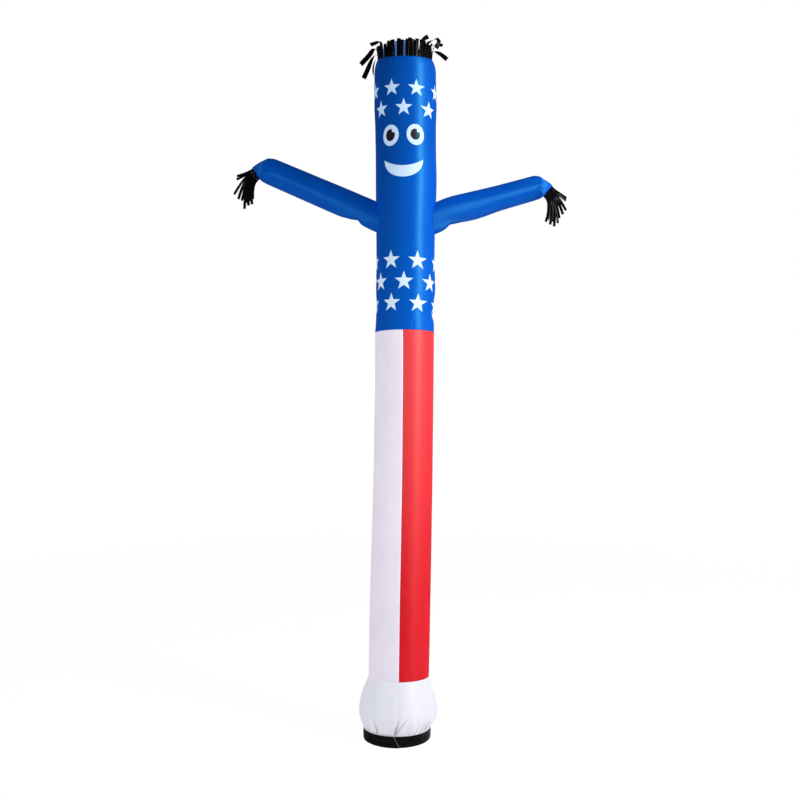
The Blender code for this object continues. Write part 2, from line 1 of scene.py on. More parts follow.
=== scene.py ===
# %% [markdown]
# # An inflatable air dancer
# A tube of thin nylon stands blown up on its base strap. The upper part is blue, with
# stars and a smiling face. Two sleeves leave it, and ribbon fringes stand in the crown
# and hang from the hands. The lower part is white on one side and red on the other.
#
# The cloth could be blown up by a cloth simulation. Here it is worked out from rows of
# sizes instead, because air holds the tube in one known shape, and formulas put each
# seam and crease exactly where it belongs. The packed solids are loaded first, as the
# fixed frame that every piece must fit. Their walls are 2 mm thick and have flat
# facets. The pieces made here are the cloth itself: 0.6 mm thick, smooth, and with its
# seams, gathers and creases.

# %% Load the frame
import json
import math
import random

import bmesh
import bpy
import numpy as np
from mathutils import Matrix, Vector

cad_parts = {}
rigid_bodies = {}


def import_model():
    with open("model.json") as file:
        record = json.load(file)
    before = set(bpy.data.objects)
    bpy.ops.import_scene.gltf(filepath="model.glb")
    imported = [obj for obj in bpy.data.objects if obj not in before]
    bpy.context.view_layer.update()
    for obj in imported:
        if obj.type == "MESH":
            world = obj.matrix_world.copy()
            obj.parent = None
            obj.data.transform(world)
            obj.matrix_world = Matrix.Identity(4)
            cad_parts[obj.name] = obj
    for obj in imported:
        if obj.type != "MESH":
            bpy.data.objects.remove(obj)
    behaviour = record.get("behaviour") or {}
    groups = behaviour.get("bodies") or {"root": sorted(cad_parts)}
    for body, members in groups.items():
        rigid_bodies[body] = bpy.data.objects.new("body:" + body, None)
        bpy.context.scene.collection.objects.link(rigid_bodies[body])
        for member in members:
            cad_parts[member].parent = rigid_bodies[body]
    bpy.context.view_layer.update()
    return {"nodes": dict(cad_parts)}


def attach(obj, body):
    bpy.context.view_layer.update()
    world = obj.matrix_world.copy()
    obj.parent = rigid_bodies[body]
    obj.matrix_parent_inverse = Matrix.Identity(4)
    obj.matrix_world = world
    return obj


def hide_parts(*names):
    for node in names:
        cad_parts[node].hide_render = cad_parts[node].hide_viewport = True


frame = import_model()
nodes = frame["nodes"]


scene = bpy.context.scene
print("nodes:", sorted(nodes))

# %% [markdown]
# ## The camera
# The dancer is seen nearly straight on from five metres away, at eye level. A wide lens
# from nearby would also show all of it, but it would make the strap look large and the
# head small. From this far off, a longer lens keeps the tube's sides nearly parallel.

# %% Camera
CAMERA_PLACE = (0.0, -5.086, 1.954)
CAMERA_DOWN = 4.92          # degrees that it looks below the horizon
CAMERA_LENS = 52.3          # millimetres
CAMERA_SENSOR = 36.0        # millimetres

lens = bpy.data.cameras.new("camera")
lens.lens = CAMERA_LENS
lens.sensor_width = CAMERA_SENSOR
camera = bpy.data.objects.new("camera", lens)
camera.location = CAMERA_PLACE
camera.rotation_euler = (math.radians(90.0 - CAMERA_DOWN), 0.0, 0.0)
scene.collection.objects.link(camera)
scene.camera = camera
scene.view_settings.view_transform = "Standard"
scene.view_settings.look = "None"
print("camera at", CAMERA_PLACE)

# %% [markdown]
# ## Studio lights
# Satin cloth shows its roundness by the streaks that it mirrors. One large lamp would
# spread an even sheen over the whole tube. So a narrow softbox on the right draws the
# bright column down the tube, and a small one on the left does the same for the left
# sleeve. Three wide ones only fill the shade, and the satin doesn't mirror them. As in a
# studio, a flag on a stand can keep a lamp's light off one piece.

# %% Softboxes
# name, azimuth from the camera in degrees, distance, height, width, tall, watts,
# colour, whether the satin mirrors it
SOFTBOXES = (
    ("strip_light", 57.0, 3.4, 3.1, 0.5, 2.0, 92.0, (1.0, 0.985, 0.97), True),
    ("side_softbox", 84.0, 4.0, 2.5, 2.0, 3.2, 90.0, (1.0, 0.99, 0.98), False),
    ("left_softbox", -50.0, 4.6, 2.6, 1.0, 1.0, 32.0, (0.93, 0.96, 1.0), True),
    ("left_fill", -64.0, 4.6, 2.4, 2.0, 3.0, 22.0, (0.93, 0.96, 1.0), False),
    ("front_softbox", -14.0, 6.0, 2.2, 4.5, 4.0, 44.0, (1.0, 1.0, 1.0), False),
)
AIM_HEIGHT = 2.0            # where the lamps point


def softbox(name, azimuth, distance, height, width, tall, watts, colour, mirrored):
    """A rectangular area light that looks at the tube's middle."""
    light = bpy.data.lights.new(name, "AREA")
    light.shape = "RECTANGLE"
    light.size = width
    light.size_y = tall
    light.energy = watts
    light.color = colour
    thing = bpy.data.objects.new(name, light)
    thing.visible_glossy = mirrored
    angle = math.radians(azimuth)
    thing.location = (distance * math.sin(angle), -distance * math.cos(angle), height)
    aim = Vector((0.0, 0.0, AIM_HEIGHT)) - thing.location
    thing.rotation_euler = aim.to_track_quat("-Z", "Y").to_euler()
    scene.collection.objects.link(thing)
    return thing


def keep_off(light, piece):
    """A flag on a stand: the light does not reach that piece."""
    shaded = bpy.data.collections.new(light.name + "_flag")
    shaded.objects.link(piece)
    shaded.collection_objects[0].light_linking.link_state = "EXCLUDE"
    light.light_linking.receiver_collection = shaded


softboxes = {row[0]: softbox(*row) for row in SOFTBOXES}
print("softboxes:", list(softboxes))

# %% [markdown]
# ## Writing a material as sums
# Nodes could be made and linked one by one, as in the shader editor. But a shader's
# maths is easier to read as an expression than as a list of links. The small class
# below wraps one socket and gives it the usual operators, so `1 - mask` adds a Subtract
# node. Every other node comes from one method of the class that holds a material's tree.

# %% A wrapped socket
class Wire:
    """One output socket, with the operators of a number."""

    def __init__(self, tree, socket):
        self.tree = tree
        self.socket = socket

    def math(self, operation, *values):
        node = self.tree.add("ShaderNodeMath", {"operation": operation}, dict(enumerate(values)))
        return Wire(self.tree, node.outputs[0])

    def __add__(self, other):
        return self.math("ADD", self, other)

    def __radd__(self, other):
        return self.math("ADD", other, self)

    def __sub__(self, other):
        return self.math("SUBTRACT", self, other)

    def __rsub__(self, other):
        return self.math("SUBTRACT", other, self)

    def __mul__(self, other):
        return self.math("MULTIPLY", self, other)

    def __rmul__(self, other):
        return self.math("MULTIPLY", other, self)

    def __truediv__(self, other):
        return self.math("DIVIDE", self, other)

    def __rtruediv__(self, other):
        return self.math("DIVIDE", other, self)

    def __pow__(self, other):
        return self.math("POWER", self, other)

    def __abs__(self):
        return self.math("ABSOLUTE", self)

    def sin(self):
        return self.math("SINE", self)

    def cos(self):
        return self.math("COSINE", self)

    def root(self):
        return self.math("SQRT", self)

    def round(self):
        return self.math("ROUND", self)

    def least(self, other):
        return self.math("MINIMUM", self, other)

    def most(self, other):
        return self.math("MAXIMUM", self, other)

    def ramp(self, low, high):
        """0 at low and below, 1 at high and above, with soft ends."""
        node = self.tree.add(
            "ShaderNodeMapRange",
            {"interpolation_type": "SMOOTHSTEP"},
            {"Value": self, "From Min": low, "From Max": high},
        )
        return Wire(self.tree, node.outputs["Result"])


print("operators:", [name for name in vars(Wire) if name.startswith("__r")])

# %% A material's tree
FLAT_MAP = "flat_cloth"     # the map that holds each point's place on the flat cloth


def colour(red, green, blue):
    return (red, green, blue, 1.0)


class Tree:
    """A material's node tree."""

    def __init__(self, name):
        self.material = bpy.data.materials.new(name)
        self.material.use_nodes = True
        self.tree = self.material.node_tree
        self.tree.nodes.clear()

    def add(self, kind, settings=None, sockets=None):
        """A node of that kind: its settings are set first, then its sockets."""
        node = self.tree.nodes.new(kind)
        for name, value in (settings or {}).items():
            setattr(node, name, value)
        for name, value in (sockets or {}).items():
            if isinstance(value, Wire):
                self.tree.links.new(value.socket, node.inputs[name])
            else:
                node.inputs[name].default_value = value
        return node

    def wire(self, kind, output, settings=None, sockets=None):
        return Wire(self, self.add(kind, settings, sockets).outputs[output])

    def cloth_place(self):
        """Where a point lies on the flat cloth: across and along, in metres."""
        flat = self.wire("ShaderNodeUVMap", "UV", {"uv_map": FLAT_MAP})
        parts = self.add("ShaderNodeSeparateXYZ", None, {"Vector": flat})
        return flat, Wire(self, parts.outputs["X"]), Wire(self, parts.outputs["Y"])

    def noise(self, place, scale, detail=3.0):
        sockets = {"Vector": place, "Scale": scale, "Detail": detail}
        return self.wire("ShaderNodeTexNoise", "Fac", None, sockets)

    def stretched(self, across, along):
        """A place for a texture, from two wires."""
        return self.wire("ShaderNodeCombineXYZ", "Vector", None, {"X": across, "Y": along})

    def mix(self, share, low, high):
        """A colour between two colours."""
        node = self.add("ShaderNodeMix", {"data_type": "RGBA"})
        for index, value in ((0, share), (6, low), (7, high)):
            if isinstance(value, Wire):
                self.tree.links.new(value.socket, node.inputs[index])
            else:
                node.inputs[index].default_value = value
        return Wire(self, node.outputs[2])

    def finish(self, surface):
        """Link the shader to the output and give back the material."""
        self.add("ShaderNodeOutputMaterial", None, {"Surface": surface})
        return self.material


print("methods of a material's tree:", [name for name in vars(Tree) if name[0] != "_"])

# %% [markdown]
# ## The studio's walls and floor
# A studio would stand the dancer on a roll of white paper and light the paper until
# it is pure white. So much light would also wash out the cloth. Here the camera
# sees a bright world and bright paper, while the cloth is lit by a dim world. The paper
# keeps a share of its real shading, so a faint shadow stays under the strap.

# %% World
WORLD_FILL = 0.06           # strength of the world's light on the cloth

world = bpy.data.worlds.new("studio")
world.use_nodes = True
scene.world = world
sky = world.node_tree
sky.nodes.clear()
dim = sky.nodes.new("ShaderNodeBackground")
dim.inputs["Strength"].default_value = WORLD_FILL
bright = sky.nodes.new("ShaderNodeBackground")
bright.inputs["Strength"].default_value = 1.0
for background in (dim, bright):
    background.inputs["Color"].default_value = colour(1.0, 1.0, 1.0)
seen = sky.nodes.new("ShaderNodeLightPath")
either = sky.nodes.new("ShaderNodeMixShader")
out = sky.nodes.new("ShaderNodeOutputWorld")
sky.links.new(seen.outputs["Is Camera Ray"], either.inputs["Fac"])
sky.links.new(dim.outputs[0], either.inputs[1])
sky.links.new(bright.outputs[0], either.inputs[2])
sky.links.new(either.outputs[0], out.inputs["Surface"])
print("world's light:", WORLD_FILL)

# %% Floor
FLOOR_SIZE = 60.0
FLOOR_DROP = 0.0005         # how far under the strap it lies
FLOOR_WHITE = 0.90          # share of the near floor that the camera sees as plain white
FLOOR_FAR = (3.0, 12.0)     # distances over which the rest turns plain white
FLOOR_GLOW = 1.09           # brightness of the plain white


def floor_paper():
    """White studio paper; the camera sees it nearly as bright as the background."""
    tree = Tree("floor_paper")
    place = tree.wire("ShaderNodeTexCoord", "Object")
    grain = tree.noise(place, 6.0)
    shade = tree.mix(grain, colour(0.46, 0.46, 0.47), colour(0.50, 0.50, 0.50))
    surface = tree.wire("ShaderNodeBsdfPrincipled", "BSDF", None, {
        "Base Color": shade,
        "Roughness": 0.9,
        "Specular IOR Level": 0.1,
    })
    white = tree.wire("ShaderNodeEmission", "Emission", None, {"Strength": FLOOR_GLOW})
    seen = tree.wire("ShaderNodeLightPath", "Is Camera Ray")
    away = tree.wire("ShaderNodeVectorMath", "Value", {"operation": "LENGTH"}, {0: place})
    share = away.ramp(*FLOOR_FAR) * (1.0 - FLOOR_WHITE) + FLOOR_WHITE
    either = tree.wire("ShaderNodeMixShader", "Shader", None,
                       {0: seen * share, 1: surface, 2: white})
    return tree.finish(either)


bm = bmesh.new()
bmesh.ops.create_grid(bm, x_segments=8, y_segments=8, size=FLOOR_SIZE / 2)
paper = bpy.data.meshes.new("floor")
bm.to_mesh(paper)
bm.free()
floor = bpy.data.objects.new("floor", paper)
floor.location.z = -FLOOR_DROP
paper.materials.append(floor_paper())
scene.collection.objects.link(floor)
print("floor", FLOOR_SIZE, "m across")

# %% [markdown]
# ## The tube's own sizes
# Air fills the tube from the blower, so its section is round, and it swells a little
# between seams. It could be one cylinder with a few loops scaled by hand. A table says
# the same in numbers that can be read: the rows give each level's height, its sideways
# place and its radius. The same rows are in the solids, so the cloth lies on them. A
# smooth curve through the rows replaces the solids' straight facets.

# %% Levels of the blue tube
CLOTH = 0.0006              # thickness of the nylon
GAP = 0.0003                # space at a sewn joint
WAIST = 1.811
SKIRT_SEAM = 0.277
RIM = 2.972
MEAN_RADIUS = 0.130         # turns an azimuth into metres of cloth

# height, rise of the ring's front
RING_RISE = (
    (0.012, 0.000),
    (0.042, 0.009),
    (SKIRT_SEAM, 0.012),
    (WAIST, 0.018),
    (2.720, 0.018),
    (2.880, 0.012),
    (RIM, 0.000),
)
# height, sideways centre, radius
BLUE_LEVELS = (
    (WAIST, 0.0200, 0.1289),
    (1.850, 0.0210, 0.1268),
    (1.884, 0.0198, 0.1247),
    (1.930, 0.0232, 0.1264),
    (2.023, 0.0247, 0.1291),
    (2.100, 0.0238, 0.1263),
    (2.190, 0.0240, 0.1266),
    (2.260, 0.0242, 0.1275),
    (2.360, 0.0258, 0.1300),
    (2.470, 0.0268, 0.1314),
    (2.580, 0.0253, 0.1303),
    (2.690, 0.0240, 0.1308),
    (2.776, 0.0235, 0.1338),
    (2.870, 0.0225, 0.1326),
    (2.911, 0.0224, 0.1322),
    (2.938, 0.0222, 0.1303),
    (2.957, 0.0216, 0.1257),
    (RIM, 0.0208, 0.1195),
)
print("the blue tube has", len(BLUE_LEVELS), "levels")

# %% A smooth curve through a table's rows
def steepness(xs, ys):
    """The slope at each point of a curve that never overshoots its points."""
    rise = np.diff(ys) / np.diff(xs)
    slopes = np.zeros(len(xs))
    slopes[0], slopes[-1] = rise[0], rise[-1]
    for k in range(1, len(xs) - 1):
        before, after = rise[k - 1], rise[k]
        if before * after > 0.0:
            slopes[k] = 2.0 * before * after / (before + after)
    return slopes


def smooth_column(table, index):
    """A function that reads one column of a table along a smooth curve."""
    xs = np.array([row[0] for row in table])
    ys = np.array([row[index] for row in table])
    slopes = steepness(xs, ys)

    def read(x):
        x = min(max(x, xs[0]), xs[-1])
        k = min(max(int(np.searchsorted(xs, x)) - 1, 0), len(xs) - 2)
        step = xs[k + 1] - xs[k]
        t = (x - xs[k]) / step
        low = (1 + 2 * t) * (1 - t) ** 2 * ys[k] + t * (1 - t) ** 2 * step * slopes[k]
        high = t * t * (3 - 2 * t) * ys[k + 1] + t * t * (t - 1) * step * slopes[k + 1]
        return float(low + high)

    return read


ring_rise = smooth_column(RING_RISE, 1)
print("the waist's ring rises", ring_rise(WAIST), "m in front")

# %% The tube as a surface
class Tube:
    """A stretch of the tube, read from its rows."""

    def __init__(self, levels):
        self.centre = smooth_column(levels, 1)
        self.radius = smooth_column(levels, 2)

    def place(self, height, azimuth, out=0.0):
        """A point on the tube's outer face; the azimuth is in radians from the front."""
        radius = self.radius(height) + out
        return Vector((
            self.centre(height) + radius * math.sin(azimuth),
            -radius * math.cos(azimuth),
            height + ring_rise(height) * math.cos(azimuth),
        ))


blue_tube = Tube(BLUE_LEVELS)
print("radius at the waist:", round(blue_tube.radius(WAIST), 4), "m")

# %% [markdown]
# ## Cloth as a grid
# Each piece of cloth is a grid of faces whose points a function puts in place. It could
# start as a plane that modifiers bend, but a function can follow the tables directly. A
# map on the grid holds where each point lies on the flat cloth, in metres, so a weave
# keeps its scale. A Solidify modifier gives the thickness, on the inner side.

# %% A grid of cloth
def cloth_grid(name, columns, rows, place, flat, closed=False):
    """A sheet; place and flat take shares from 0 to 1 across and along the cloth."""
    around = columns if closed else columns + 1
    points = [place(i / columns, j / rows) for j in range(rows + 1) for i in range(around)]
    faces = []
    corners = []
    for j in range(rows):
        for i in range(columns):
            faces.append([a % around + b * around for a, b in
                          ((i, j), (i + 1, j), (i + 1, j + 1), (i, j + 1))])
            corners.extend([(i, j), (i + 1, j), (i + 1, j + 1), (i, j + 1)])
    mesh = bpy.data.meshes.new(name)
    mesh.from_pydata(points, [], faces)
    mesh.shade_smooth()
    layer = mesh.uv_layers.new(name=FLAT_MAP)
    flats = [flat(i / columns, j / rows) for i, j in corners]
    layer.uv.foreach_set("vector", np.array(flats, np.float32).ravel())
    piece = bpy.data.objects.new(name, mesh)
    scene.collection.objects.link(piece)
    return piece


def give_thickness(piece, thickness=CLOTH, side=-1.0):
    """Thickness on the inner side, or on both sides where side is 0."""
    shell = piece.modifiers.new("thickness", "SOLIDIFY")
    shell.thickness = thickness
    shell.offset = side


print("nylon is made", CLOTH * 1000, "mm thick")

# %% [markdown]
# ## Creases and puckers
# Blown-up cloth is smooth but for two things. Old folds and pulls leave creases, and
# along a seam the thread draws the cloth together into small waves, which fade within a
# few centimetres. A displacement texture could scatter such marks anywhere. These are
# placed one by one as soft troughs, because real ones start at seams and armholes.

# %% Creases and puckers
def crease(creases, across, along):
    """How far in the creases lie at a place on the flat cloth.

    Each crease has its middle, half length, half width, depth and slant in degrees."""
    depth = 0.0
    for middle_x, middle_y, half_length, half_width, deep, slant in creases:
        dx, dy = across - middle_x, along - middle_y
        if abs(dx) + abs(dy) > 3.0 * (half_length + half_width):
            continue
        angle = math.radians(slant)
        on = (dx * math.cos(angle) + dy * math.sin(angle)) / half_length
        off = (dy * math.cos(angle) - dx * math.sin(angle)) / half_width
        depth += deep * math.exp(-on * on - off * off)
    return depth


def uneven_wave(along, pitch, seed):
    """A wave from -1 to 1 whose pitch and height wander, as thread tension does."""
    waves = along / pitch
    drift = 0.35 * math.sin(waves * 0.31 + seed) + 0.25 * math.sin(waves * 0.83 + 2 * seed)
    height = 0.65 + 0.35 * math.sin(waves * 0.47 + 3 * seed)
    return height * math.sin(math.tau * waves + 2.2 * drift)


def pucker(distance, along, deep, reach, pitch, seed):
    """The small waves beside a seam."""
    fade = math.exp(-(distance / reach) ** 2)
    if fade < 0.01:
        return 0.0
    return deep * fade * uneven_wave(along, pitch, seed)


print("a pucker keeps", round(math.exp(-1.0), 2), "of its depth at the end of its reach")

# %% Finishing a piece
def finish_piece(piece, replaced, material):
    """Material, body and replaced solids of a piece."""
    piece.data.materials.append(material)
    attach(piece, "root")
    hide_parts(*replaced)
    print(piece.name + ":", len(piece.data.polygons), "faces, in place of", replaced)


print("solids to stand for:", len(nodes))

# %% [markdown]
# ## Nylon
# Air dancers are sewn from thin coated nylon. It is a tight plain weave with a satin
# face: the threads give a fine tooth, and the coating gives a soft bright streak where
# the light strikes. The cloth's colour varies very little. Long shallow ripples from
# handling show only as changes in the reflection.
#
# Some light from behind comes through such thin cloth. A translucent shader would show
# it, but it needs lamps inside the tube. A glow of the cloth's own colour stands in for
# it as painted light. In the skirt's folds both that glow and the cloth's own colour are
# darkened, as painted shade.

# %% Sizes of the nylon's weave
THREAD = 0.0009             # pitch of the weave
RIB = 0.000006              # height of its ribs
CRINKLE = 0.00020           # height of the fine crinkles
RIPPLE = 0.00025            # height of the wide ripples
STRETCHED_SHINE = 0.83      # how far the shine spreads along the cloth's length
SEAM_REACH = 0.020          # length of a seam's ridges, to one side
SEAM_PITCH = 0.0115
SEAM_RIDGE = 0.0011         # their height at the seam
SEAM_FADE = (0.11, 0.17)    # heights over which the skirt's ridges begin
FOLD_FADE = (0.14, 0.20)    # heights over which the painted shade in the skirt's folds fades out
FOLD_AIR = 0.03             # how near another face of cloth must be for a fold to get painted shade
OPEN_AIR = (0.45, 0.98)     # shares of open air between a fold's darkest painted shade and none
CLOUDS = (0.30, 0.72)       # values of the noise between the deep shade and the pale
RIDGE_WANDER = 5.0          # how unevenly the ridges lie, in radians
BLACK = colour(0.0, 0.0, 0.0)

print("threads to the centimetre:", round(0.01 / THREAD, 1))

# %% The nylon's shader
def nylon(name, pale, deep, roughness, tint, glow, turned=0.25, printed=None, fold_shade=0.0,
          stretch=STRETCHED_SHINE, seam=None):
    """Satin nylon between two shades.

    The shine spreads along the threads that run the cloth's length. Some of the light
    from the far side comes through the cloth; glow is painted light of the cloth's own
    colour that stands in for it. In a fold, the cloth's colour and its glow are both
    darkened by the given share, as painted shade. Beside a seam that runs lengthwise,
    the thread draws short ridges across it. The function printed takes the tree, the
    shade and the two places on the flat cloth. It gives back the shade with its ink,
    and the colour of the painted light in its glow."""
    tree = Tree(name)
    flat, across, along = tree.cloth_place()
    solid = tree.wire("ShaderNodeTexCoord", "Object")
    cloud = tree.noise(solid, 5.0, 4.0)
    crinkle = tree.noise(solid, 38.0, 5.0)
    warp = (across * (math.tau / THREAD)).sin()
    weft = (along * (math.tau / THREAD)).sin()
    fading = cloud * 0.7 + crinkle * 0.3 + warp * weft * 0.04
    shade = tree.mix(fading.ramp(*CLOUDS), deep, pale)
    lit = shade
    if printed:
        shade, lit = printed(tree, shade, across, along)
    # Painted shade: where other cloth closes in round a point, as in the skirt's folds low down,
    # the cloth's colour and its glow are both mixed towards black.
    if fold_shade:
        open_air = tree.wire("ShaderNodeAmbientOcclusion", "AO", {"samples": 6},
                             {"Distance": FOLD_AIR})
        painted_fold_shade = (1.0 - open_air.ramp(*OPEN_AIR)) * (1.0 - along.ramp(*FOLD_FADE)) * fold_shade
        shade = lit = tree.mix(painted_fold_shade, shade, BLACK)
    relief = (weft + warp) * RIB + crinkle * CRINKLE + cloud * RIPPLE
    if seam is not None:
        near = 1.0 - (abs(across - seam) / SEAM_REACH).least(1.0)
        ridges = (along * (math.tau / SEAM_PITCH) + crinkle * RIDGE_WANDER).sin()
        relief += ridges * along.ramp(*SEAM_FADE) * near * near * SEAM_RIDGE
    bump = tree.wire("ShaderNodeBump", "Normal", None, {
        "Strength": 1.0,
        "Distance": 1.0,
        "Height": relief,
    })
    surface = tree.wire("ShaderNodeBsdfPrincipled", "BSDF", None, {
        "Base Color": shade,
        "Roughness": crinkle * 0.10 + (roughness - 0.05),
        "Normal": bump,
        "IOR": 1.75,
        "Specular IOR Level": 0.72,
        "Specular Tint": tint,
        "Anisotropic": stretch,
        "Anisotropic Rotation": turned,
        "Emission Color": lit,
        "Emission Strength": glow,
    })
    return tree.finish(surface)


print("a seam's ridges to the decimetre:", round(0.1 / SEAM_PITCH, 1))

# %% [markdown]
# ## Stars and face
# The stars and the face are printed on the blue cloth before it is sewn. They are
# plain shapes: five-pointed stars in staggered rows, two ovals with round pupils, and a
# crescent. They could be cut from thin cloth as faces of their own, or painted in an
# image. Masks worked out from their sizes stay sharp at any distance, and lie in the
# cloth as ink does. Each shape is a field that is positive inside it.

# %% Shapes of the print
STAR_WAIST = 0.40           # inner corners, as a share of the points' radius
INK_EDGE = 0.0006           # softness of the ink's edge


def ink(field):
    """A mask from a field that is positive inside the shape, in metres."""
    return field.ramp(-INK_EDGE, INK_EDGE)


def star(dx, dy, radius):
    """A five-pointed star that points up."""
    fifth = math.tau / 5
    reach = (dx * dx + dy * dy).root()
    angle = dx.math("ARCTAN2", dx, dy)
    turned = abs(angle - (angle / fifth).round() * fifth)
    # The straight edge from a point of the star to the next inner corner.
    inner = radius * STAR_WAIST
    corner_x = inner * math.sin(fifth / 2)
    corner_y = inner * math.cos(fifth / 2)
    length = math.hypot(corner_x, radius - corner_y)
    normal_x = (radius - corner_y) / length
    normal_y = corner_x / length
    edge = reach * turned.sin() * normal_x + reach * turned.cos() * normal_y
    return radius * normal_y - edge


def oval(dx, dy, half_width, half_height, tilt):
    """An oval that leans by tilt degrees to the right."""
    angle = math.radians(tilt)
    x = dx * math.cos(angle) - dy * math.sin(angle)
    y = dx * math.sin(angle) + dy * math.cos(angle)
    size = ((x / half_width) ** 2 + (y / half_height) ** 2).root()
    return (1 - size) * half_width


print("a star's inner corners lie at", STAR_WAIST, "of its radius")

# %% Sizes of the print
# height, azimuth of one star, degrees between stars, radius of the points
STAR_ROWS = (
    (2.8265, 20.2, 46.2, 0.0388),
    (2.7415, -3.6, 47.2, 0.0380),
    (2.1065, 23.6, 53.4, 0.0420),
    (2.0170, -3.6, 53.2, 0.0420),
    (1.9255, 25.0, 53.6, 0.0418),
)
STAR_DROP = 0.004           # how much lower a row lies on the right side than in front
STAR_SHIFT = 0.07           # radians that the stars on the right lie further round
STAR_SHIFT_SPAN = (0.45, 0.90)  # azimuths, in radians, over which they shift
STAR_ROOM = 1.15            # radii that a star keeps clear of the back seam
# azimuth, height, half width, half height, tilt of the white; the same of the pupil;
# azimuth and height of the bite out of the pupil
EYES = (
    ((-30.0, 2.6294, 0.0380, 0.0438, 6.0), (-30.2, 2.6302, 0.0217, 0.0248, 8.0), (-23.4, 2.6480)),
    ((18.5, 2.6299, 0.0392, 0.0434, -8.0), (18.0, 2.6310, 0.0215, 0.0232, -6.0), (24.2, 2.6470)),
)
BITE = 0.0076               # its radius
SMILE_AZIMUTH = -5.6
SMILE_CORNERS = 2.5290      # height of the smile's corners
SMILE_HALF = 0.0878         # half its width
SMILE_TOP = 0.0278          # how far its upper edge sags
SMILE_DEEP = 0.0748         # how far its lower edge sags
print("stars in the first row, all the way round:", round(360.0 / STAR_ROWS[0][2], 1))

# %% Colours of the ink and of the painted light in the glow
INK_WHITE = colour(0.50, 0.60, 0.74)
INK_BLACK = colour(0.030, 0.010, 0.012)
# Painted light: the pale ink glows far more than the cloth, so the stars and the face's
# white parts stay evenly bright all round. Ink and cloth both glow more low down, at the
# waist, than at the rim.
INK_PAINTED_LIGHT = colour(1.40, 2.00, 2.80)
INK_PAINTED_LIGHT_LOW = colour(2.30, 2.70, 3.10)
BLUE_PAINTED_LIGHT_LOW = colour(0.0005, 0.20, 1.18)
BLUE_PAINTED_LIGHT_SPAN = (1.70, 2.95)            # heights from the low colours to the high ones
print("light comes through most at", BLUE_PAINTED_LIGHT_SPAN[0], "m")

# %% Printing on the blue cloth
def printed_stars(azimuth, along):
    """A mask of all the stars."""
    level = along + azimuth.sin() * STAR_DROP
    around = azimuth - azimuth.ramp(*STAR_SHIFT_SPAN) * STAR_SHIFT
    white = None
    for height, first, pitch, radius in STAR_ROWS:
        step = math.radians(pitch)
        local = (around - math.radians(first)) / step
        girth = blue_tube.radius(height)
        dx = (local - local.round()) * (step * girth)
        # No star is printed where the sheet's back seam would cut it.
        whole = math.pi - STAR_ROOM * radius / girth - abs(azimuth - dx / girth)
        one = ink(star(dx, level - height, radius)) * whole.ramp(0.0, 0.001)
        white = one if white is None else white.most(one)
    return white


def prints(tree, shade, across, along):
    """Stars and face over the blue."""
    azimuth = across / MEAN_RADIUS
    white = printed_stars(azimuth, along)
    black = None
    girth = blue_tube.radius(EYES[0][0][1])
    for ball, pupil, bitten in EYES:
        spots = []
        for place, height, half_width, half_height, tilt in (ball, pupil):
            dx = (azimuth - math.radians(place)) * girth
            spots.append(ink(oval(dx, along - height, half_width, half_height, tilt)))
        dx = (azimuth - math.radians(bitten[0])) * girth
        bite = ink(oval(dx, along - bitten[1], BITE, BITE, 0.0))
        white = white.most(spots[0])
        dark = spots[1] * (1 - bite)
        black = dark if black is None else black.most(dark)
    x = (azimuth - math.radians(SMILE_AZIMUTH)) * girth / SMILE_HALF
    y = SMILE_CORNERS - along
    above = y - SMILE_TOP + x * x * SMILE_TOP
    below = (1 - (x * x + (y / SMILE_DEEP) ** 2).root()) * SMILE_DEEP
    white = white.most(ink(above.least(below)))
    inked = tree.mix(black, tree.mix(white, shade, INK_WHITE), INK_BLACK)
    # Painted light: the glow's colour is brighter on the cloth and on the ink low down.
    higher = along.ramp(*BLUE_PAINTED_LIGHT_SPAN)
    cloth_painted_light = tree.mix(higher, BLUE_PAINTED_LIGHT_LOW, shade)
    ink_painted_light = tree.mix(higher, INK_PAINTED_LIGHT_LOW, INK_PAINTED_LIGHT)
    return inked, tree.mix(black, tree.mix(white, cloth_painted_light, ink_painted_light), INK_BLACK)


print("printed: rows of stars,", len(STAR_ROWS), "and eyes,", len(EYES))

# %% [markdown]
# ## The cloth's colours
# The maker buys one nylon in three colours. So one function makes every nylon material
# here, and only its shades, its shine and its glow differ. The glow is painted light that
# stands in for the light that comes through. On the sleeves the threads lie along the arm,
# so the shine is turned with them.

# %% Blue nylon
BLUE_PALE = colour(0.0005, 0.092, 0.540)
BLUE_DEEP = colour(0.0005, 0.076, 0.465)
BLUE_TINT = colour(0.10, 0.74, 1.00)
# Painted light: each nylon's glow stands in for light that comes through the cloth, and the sleeves
# get more of it than the tube.
blue_print = nylon("blue_nylon_print", BLUE_PALE, BLUE_DEEP, 0.52, BLUE_TINT, 0.20, printed=prints)
blue_sleeves = {
    name: nylon("blue_nylon_" + name, BLUE_PALE, BLUE_DEEP, 0.52, BLUE_TINT, 0.28, turned=turned,
                 stretch=0.95)
    for name, turned in (("left", 0.5 - 28.0 / 360.0), ("right", 15.7 / 360.0))
}
print("blue:", [material.name for material in bpy.data.materials if "blue" in material.name])

# %% White and red nylon
PLAIN_TINT = colour(1.0, 1.0, 1.0)
SKIRT_JOIN = -2.0           # azimuth of the skirt's own seam
SKIRT_SEWN = math.radians(SKIRT_JOIN) * MEAN_RADIUS
